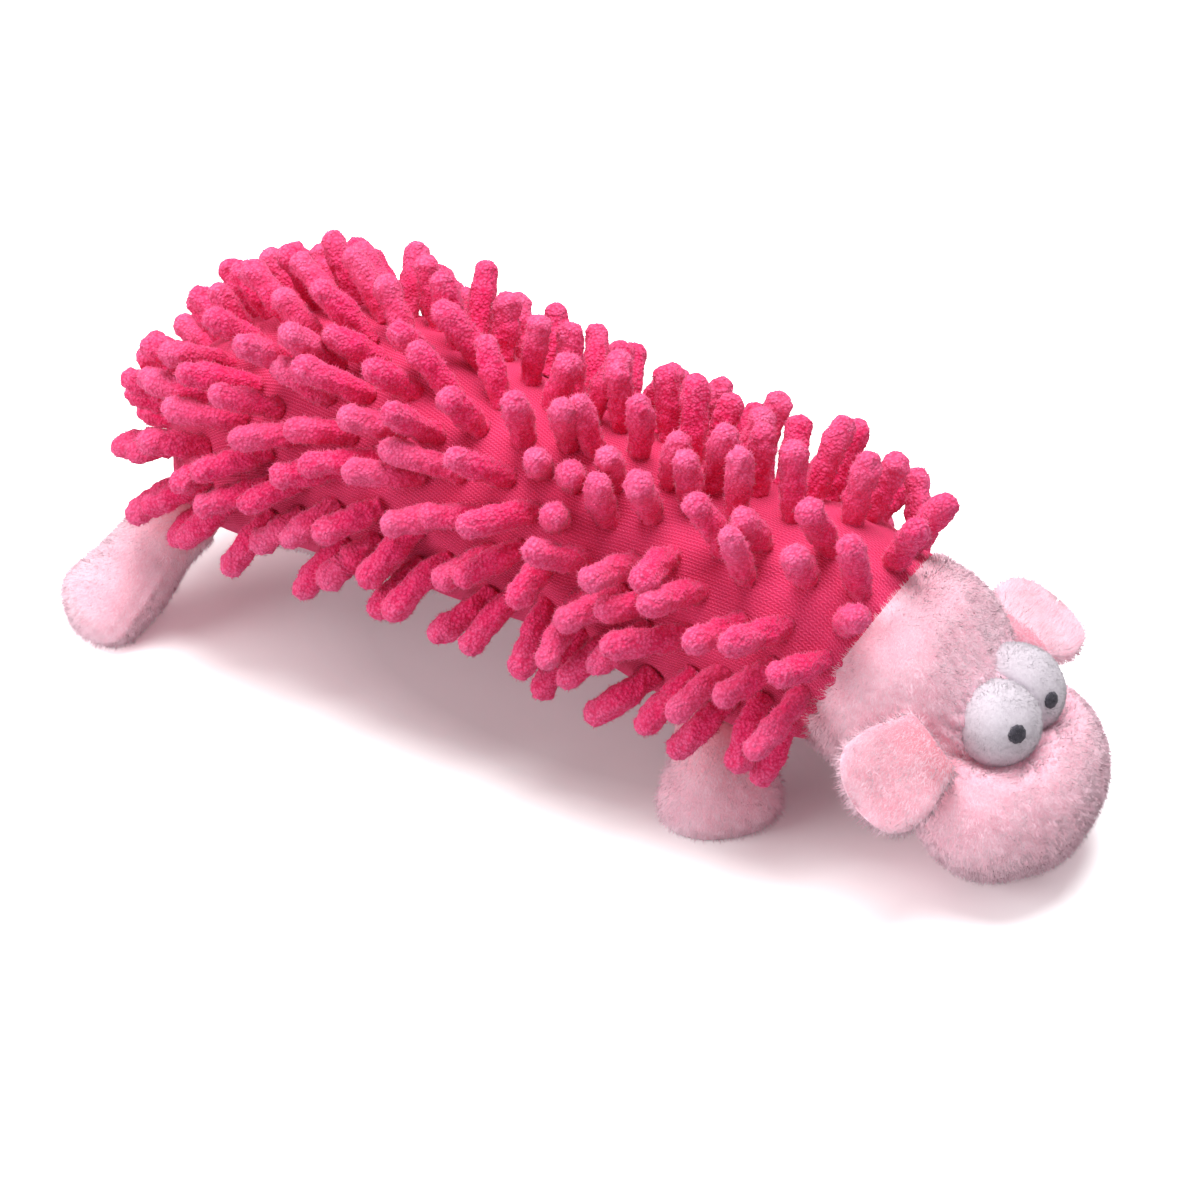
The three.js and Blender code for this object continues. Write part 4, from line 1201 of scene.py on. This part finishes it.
def split_chin(muzzle):
    """Cuts the chin panel off the muzzle along its seam."""
    work = bmesh.new()
    work.from_mesh(muzzle.data)
    geometry = work.verts[:] + work.edges[:] + work.faces[:]
    bmesh.ops.bisect_plane(work, geom=geometry, plane_co=(0, 0, CHIN_SEAM), plane_no=(0, 0, 1))
    low = work.copy()
    for part, sign in ((work, 1), (low, -1)):
        drop = [face for face in part.faces if (face.calc_center_median().z - CHIN_SEAM) * sign < 0]
        bmesh.ops.delete(part, geom=drop, context="FACES")
    chin = bpy.data.meshes.new("chin_skin")
    low.to_mesh(chin)
    work.to_mesh(muzzle.data)
    work.free()
    low.free()
    chin.shade_smooth()
    return new_object("chin_skin", chin)


def comb_head(roots):
    """Pile lies forward and down, and back over the cover's end at the neck."""
    place = along_neck(roots)
    back = 1 - smoothstep(place, SLEEVE_END, SLEEVE_END + SLEEVE_PILE_REACH)[:, None]
    forward = unit(np.array(HEAD_COMB)) * HEAD_COMB_SHARE
    return forward * (1 - back) - NECK_AXIS * SLEEVE_COMB_SHARE * back


def hang_from_neck(piece, body):
    """Bakes the sleeve's place into its points; it is hung on no body."""
    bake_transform(piece)


def furred(skin, name, seed, panel, wanted=None, hang=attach, rows=0):
    """Plants pile on a skin of the head, gives the skin its wall and passes both to the given hang, which by
    default hangs them on the head.
    """
    roots, normals, rng = skin_samples(skin, PILE_DENSITY, seed, wanted)
    pile = spikes(name, roots, normals, comb_head(roots), PILE_LENGTH, rng, PLUSH, rows)
    thicken(skin, HEAD_WALL)
    dress(skin, PLUSH)
    for piece in (skin, pile):
        hang(piece, "head")
    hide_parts(panel)


def make_head():
    forehead = head_skin(
        "forehead_skin", HEAD, HEAD_BALL, NECK_AXIS, muzzle_depth, muzzle_normal, sleeve=True)
    muzzle = head_skin("muzzle_skin", MUZZLE, MUZZLE_HALF, (1, 0, 0), ball_depth, ball_normal)
    chin = split_chin(muzzle)
    shown = lambda p: along_neck(p) > SLEEVE_END + SLEEVE_PILE_START
    furred(forehead, "forehead_pile", 31, "forehead_panel", wanted=shown, hang=hang_from_neck)
    furred(muzzle, "muzzle_pile", 32, "muzzle_panel", rows=PILE_ROW_DEPTH)
    furred(chin, "chin_pile", 33, "chin_panel", wanted=lambda p: p[:, 2] > CHIN_PILE_START)


# Eyes
def make_eye(name, side):
    """A velour ball, flat where it presses on the other eye."""
    centre = eye_centre(side) + EYE_SHIFT[side]
    points, _, faces = ball_grid(centre, EYE_HALF[side], (1, 0, 0), *EYE_GRID)
    inner = points[:, 1] * side
    squeezed = EYE_GAP + EYE_FLAT_ROUND * np.log1p(np.exp((inner - EYE_GAP) / EYE_FLAT_ROUND))
    points[:, 1] = side * np.where(inner < EYE_FLAT_REACH, squeezed, inner)
    points = points + unit(points - centre) * lumps(points, EYE_LUMPS)[:, None]
    made = mesh_object(f"{name}_eye", points, flipped(faces))
    weld(made)
    roots, normals, rng = skin_samples(made, EYE_PILE_DENSITY, 75 + side)
    free = (roots - centre)[:, 1] * side > -EYE_PILE_REACH
    pile = spikes(
        f"{name}_eye_pile", roots[free], normals[free], EYE_COMB, EYE_PILE, rng, EYE_WHITE)
    dress(made, EYE_WHITE)
    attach(made, "head")
    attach(pile, "head")
    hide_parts(f"{name}_eye_cover")


def make_pupil(name, side):
    """A thin dark dot with a soft ragged edge, domed over the eye."""
    axis = unit(np.array(PUPIL_SHARES[name]))
    surface = 1 / np.linalg.norm(axis / EYE_HALF[side])
    centre = eye_centre(side) + EYE_SHIFT[side] + axis * (surface - EYE_RADIUS + PUPIL_CENTRE_SHIFT)
    across = unit(np.cross(axis, (0, 0, 1)))
    up = np.cross(across, axis)
    rng = np.random.default_rng(50 + side)
    face = np.linspace(PUPIL_START_SHARE, 1, PUPIL_RINGS)
    share = np.concatenate([face, [0.99, 0.9]])[:, None]
    lift = np.concatenate([PUPIL_THICKNESS * np.sqrt(1 - face**4), PUPIL_EDGE])[:, None]
    around = full_turn(PUPIL_SIDES)[None, :]
    wave, fleck = PUPIL_RAGGED_SHARES
    ragged = 1 + wave * np.sin(9 * around) + rng.normal(scale=fleck, size=(1, PUPIL_SIDES))
    angle = (share * PUPIL_RADIUS[name] * ragged / EYE_RADIUS)[..., None]
    around = around[..., None]
    outward = np.cos(angle) * axis + np.sin(angle) * (np.cos(around) * across + np.sin(around) * up)
    points = centre + outward * (EYE_RADIUS + lift + PUPIL_LIFT)[..., None]
    grain = rng.normal(scale=PUPIL_GRAIN, size=points.shape[:2])[..., None] * (share < 0.97)[..., None]
    points = (points + outward * grain).reshape(-1, 3)
    ends = np.stack([centre + axis * (EYE_RADIUS + reach) for reach in (PUPIL_THICKNESS, -PUPIL_BACK)])
    faces = ring_faces(len(share), PUPIL_SIDES)
    made = mesh_object(f"{name}_pupil_dot", np.concatenate([points, ends]), faces)
    weld(made)
    dress(made, PUPIL_GREY)
    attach(made, "head")
    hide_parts(f"{name}_pupil")


# Ears
def ear_frame(name, side):
    sweep = EAR_SWEEP[name]
    droop = EAR_DROOP[name]
    direction = unit(np.array((-sin(sweep), side * cos(sweep) * cos(droop), -sin(droop))))
    up = unit(np.cross((1, 0, 0), direction) * side)
    turn = Matrix.Rotation(side * EAR_ROLL[name], 3, Vector(direction))
    up = np.array(turn @ Vector(up))
    return joint_point(f"{name}_ear_flap"), direction, np.cross(direction, up) * side, up


def make_ear(name, side):
    """Two layers sewn round the edge: cupped, thin in the middle, with a fat soft rim."""
    pivot, direction, across, up = ear_frame(name, side)
    rows, columns = EAR_GRID
    along = 1 - (1 - np.linspace(0, 0.995, rows)) ** 1.8
    share = (EAR_ROOT_SHARE + (1 - EAR_ROOT_SHARE) * along)[:, None]
    around = full_turn(columns)[None, :]
    aside = np.cos(around)
    cap = np.sqrt(1 - np.clip((share - EAR_CAP_SHARE) / (1 - EAR_CAP_SHARE), 0, 1) ** 2.6)
    width = EAR_ROOT_WIDTH_SHARE + (1 - EAR_ROOT_WIDTH_SHARE) * smoothstep(share, -0.1, 0.5)
    half = width * cap * EAR_WIDTH / 2
    edge = np.maximum(np.abs(aside) ** 3, smoothstep(share, 0.75, 0.95))
    rim = EAR_MIDDLE_SHARE + (1 - EAR_MIDDLE_SHARE) * edge
    puff = (1 + EAR_ROOT_PUFF_SHARE * (1 - smoothstep(share, -0.1, 0.3))) * cap
    rise = EAR_CURL[name] * (share * aside**2 + EAR_TIP_CURL_SHARE * smoothstep(share, 0.55, 1))
    high = rise + EAR_LAYER[name] * puff * rim * np.sin(around)
    points = pivot + (share * EAR_LENGTH[name])[..., None] * direction + (aside * half)[..., None] * across
    points = (points + high[..., None] * up).reshape(-1, 3)
    points += lumps(points, EAR_LUMPS[name])[:, None] * up
    ends = np.stack([points[:columns].mean(0), points[-columns:].mean(0) + direction * EAR_TIP])
    faces = ring_faces(rows, columns)
    if side < 0:
        faces = flipped(faces)
    made = mesh_object(f"{name}_ear", np.concatenate([points, ends]), faces)
    weld(made)
    # Painted shade: coral on the cupped inside and at the root, where the ear lies in shade
    inside = smoothstep(np.sin(around) * np.ones_like(share), 0, 0.8) * (1 - rim)
    ear_painted_shade = inside * EAR_INSIDE_PAINTED_SHADE + faded(share, EAR_ROOT_PAINTED_SHADE)
    point_values(made, "seam", np.clip(np.concatenate([ear_painted_shade.ravel(), [0, 0]]), 0, 1))
    roots, normals, rng = skin_samples(made, PILE_DENSITY, 70 + side)
    comb = direction * EAR_COMB_SHARE
    reach = PILE_LENGTH * EAR_PILE_SHARE
    pile = spikes(f"{name}_ear_pile", roots, normals, comb, reach, rng, PLUSH)
    dress(made, PLUSH)
    for piece in (made, pile):
        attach(piece, f"{name}_ear")
    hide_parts(f"{name}_ear_upper", f"{name}_ear_lower")


# Legs
def make_leg(leg):
    """A plush bag: a round root in the body, swelling to a soft foot with a side seam."""
    name = leg["name"]
    pivot = leg["pivot"]
    direction = leg["direction"]
    root = leg["root"]
    length = leg["length"]
    wide, deep = leg["foot"]
    ball_rings, shaft_rings, dome_rings = LEG_RINGS
    ball = np.linspace(-LEG_BALL_SHARE, 0, ball_rings)[:-1] * root
    turn = np.linspace(0, pi / 2, dome_rings)[1:-1]
    place = np.concatenate([ball, np.linspace(0, length, shaft_rings), length + deep * np.sin(turn)])
    flare = smoothstep(place, LEG_FLARE_SHARE * length, length)
    cap = np.concatenate([np.sqrt(1 - (ball / root) ** 2), np.ones(shaft_rings), np.cos(turn)])
    half_wide = ((root + (wide - root) * flare) * cap)[:, None]
    half_deep = ((root + (deep - root) * flare) * cap)[:, None]
    around = full_turn(LEG_COLUMNS)[None, :]
    seam_start, seam_full = (share * length for share in LEG_SEAM_SHARES)
    seam = faded(np.cos(around), LEG_SEAM) * smoothstep(place, seam_start, seam_full)[:, None]
    points = pivot + place[:, None, None] * direction + (np.cos(around) * half_deep)[..., None] * leg["up"]
    points = (points + (np.sin(around) * (half_wide + seam))[..., None] * leg["across"]).reshape(-1, 3)
    outward = unit(points - np.repeat(pivot + place[:, None] * direction, LEG_COLUMNS, axis=0))
    soft = smoothstep(np.repeat(place, LEG_COLUMNS), 0, LEG_SOFT_SHARE * length)
    points += outward * (soft * lumps(points, LEG_LUMPS))[:, None]
    ends = np.stack([pivot - direction * root * LEG_END_SHARE, pivot + direction * (length + deep)])
    points = np.concatenate([points, ends])
    points[:, 2] = np.maximum(points[:, 2], SKIN_FLOOR_GAP)
    made = mesh_object(f"{name}_leg", points, ring_faces(len(place), LEG_COLUMNS))
    weld(made)
    distance = np.linalg.norm(vertex_values(made, "co") - pivot, axis=1)
    # Painted shade: redder colour where the leg sits in the body
    point_values(made, "seam", faded(distance - root, LEG_ROOT_PAINTED_SHADE))
    shown = lambda p: ((p - pivot) @ direction > 0) & (p[:, 2] > LEG_PILE_START)
    roots, normals, rng = skin_samples(made, PILE_DENSITY, 90, shown)
    comb = direction * LEG_COMB_SHARE
    reach = PILE_LENGTH * LEG_PILE_SHARE
    pile = spikes(f"{name}_leg_pile", roots, normals, comb, reach, rng, PLUSH)
    dress(made, PLUSH)
    for piece in (made, pile):
        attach(piece, f"{name}_leg")
    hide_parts(f"{name}_leg_cover")


# Filling and squeaker
def make_filling(name, body):
    """Lumpy fibre in place of a plain filling solid, a little inside its skin."""
    made = new_object(f"{name}_fibre", frame["nodes"][name].data.copy())
    remesh = made.modifiers.new("even", "REMESH")
    remesh.mode = "VOXEL"
    remesh.voxel_size = FILLING_VOXEL
    smooth = made.modifiers.new("soft", "SMOOTH")
    smooth.iterations = FILLING_SMOOTHING
    apply_modifiers(made)
    points = vertex_values(made, "co")
    inset = lumps(points, FILLING_LUMPS) - FILLING_INSET
    points = points + vertex_values(made, "normal") * inset[:, None]
    if name == "head_stuffing":
        points = lower_round_eyes(points - (0, 0, FILLING_DROP), HEAD_WALL + FILLING_EYE_GAP)
    made.data.vertices.foreach_set("co", points.astype(np.float32).ravel())
    made.data.update()
    dress(made, FIBRE)
    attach(made, body)
    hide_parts(name)


def make_fillings():
    for body, members in frame["record"]["behaviour"]["bodies"].items():
        for name in members:
            if "stuffing" in name:
                make_filling(name, body)


def dress_squeaker():
    """Moulded plastic on the squeaker, and a copy of its bellows that rides with the rear trunk."""
    for name in ("squeaker_base", "squeaker_cap"):
        dress(frame["nodes"][name], SQUEAKER)
    for name in ("reed_barrel", "reed"):
        dress(frame["nodes"][name], REED)
    made = new_object("folding_bellows", frame["nodes"]["squeaker_bellows"].data.copy())
    dress(made, SQUEAKER)
    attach(made, "rear_trunk")
    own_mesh(made)
    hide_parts("squeaker_bellows")


# Floor, light and camera
def seen_rays(tree):
    """1 for what the camera sees, straight, in a reflection or through glass."""
    path = node(tree, "ShaderNodeLightPath")
    straight = maths(tree, "MAXIMUM", path.outputs["Is Camera Ray"], path.outputs["Is Glossy Ray"])
    return maths(tree, "MAXIMUM", straight, path.outputs["Is Transmission Ray"])


def make_floor():
    """A pale floor that shows white away from the object and keeps its shadow near it, where its seen colour is
    lowered as painted shade.
    """
    corners = [(x * FLOOR_HALF, y * FLOOR_HALF, 0) for x, y in ((-1, -1), (1, -1), (1, 1), (-1, 1))]
    floor_piece = mesh_object("floor", np.array(corners), [np.array([[0, 1, 2, 3]])])
    made, tree, shader, place = start_material("floor_white", 0.9, 0.0, specular=0.1)
    oval = vector_maths(tree, "MULTIPLY", {0: place, 1: FLOOR_OVAL})
    reach = vector_maths(tree, "LENGTH", {0: oval}, "Value")
    # Painted shade darkens the floor close to the object; further out it rises to white
    pale = maths(tree, "ADD", spread(tree, reach, *FLOOR_NEAR_PAINTED_SHADE), spread(tree, reach, *FLOOR_FAR))
    channels = {0: maths(tree, "MULTIPLY", pale, FLOOR_RED_SHARE), 1: pale, 2: pale}
    shown = node(tree, "ShaderNodeCombineColor", channels).outputs[0]
    colour = mixed(tree, seen_rays(tree), (FLOOR_GREY, FLOOR_GREY, FLOOR_GREY, 1), shown)
    tree.links.new(colour, shader.inputs["Base Color"])
    floor_piece.data.materials.append(made)


def make_world():
    world = bpy.data.worlds.new("studio")
    world.use_nodes = True
    tree = world.node_tree
    background = tree.nodes["Background"]
    background.inputs["Color"].default_value = (1, 1, 1, 1)
    strength = spread(tree, seen_rays(tree), 0, 1, WORLD_STRENGTH, 1.0)
    tree.links.new(strength, background.inputs["Strength"])
    bpy.context.scene.world = world


def area_light(name, place, power):
    lamp = bpy.data.lights.new(name, "AREA")
    lamp.shape = "DISK"
    lamp.size = LIGHT_SIZE
    lamp.energy = power
    made = new_object(name, lamp)
    made.location = place
    made.rotation_euler = (Vector(LIGHT_AIM) - Vector(place)).to_track_quat("-Z", "Y").to_euler()


def make_camera():
    camera = new_object("camera", bpy.data.cameras.new("camera"))
    camera.data.lens = CAMERA_LENS
    camera.data.sensor_width = CAMERA_SENSOR
    back = Vector((
        sin(CAMERA_AZIMUTH) * cos(CAMERA_ELEVATION),
        -cos(CAMERA_AZIMUTH) * cos(CAMERA_ELEVATION),
        sin(CAMERA_ELEVATION),
    ))
    camera.location = CAMERA_TARGET + back * CAMERA_DISTANCE
    camera.rotation_euler = back.to_track_quat("Z", "Y").to_euler()
    bpy.context.scene.camera = camera


def bend_with_waist(piece):
    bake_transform(piece)


def make_body():
    fingers = lay_fingers()
    cover = make_cover([finger[1] for finger in fingers])
    bands = make_fingers(fingers)
    belly, belly_pile = make_belly()
    for piece in (cover, belly, belly_pile, *bands):
        bend_with_waist(piece)
    for piece in (cover, *bands):
        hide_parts("rear_cover", "front_cover")
    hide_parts("rear_belly_panel", "front_belly_panel")


def build():
    make_camera()
    make_body()
    make_head()
    for name, side in (("left", 1), ("right", -1)):
        make_eye(name, side)
        make_pupil(name, side)
        make_ear(name, side)
    for leg in LEGS:
        make_leg(leg)
    make_fillings()
    dress_squeaker()
    make_floor()
    make_world()
    area_light("key", KEY_PLACE, KEY_POWER)
    area_light("fill", FILL_PLACE, FILL_POWER)
    bpy.context.scene.view_settings.view_transform = "Standard"


build()
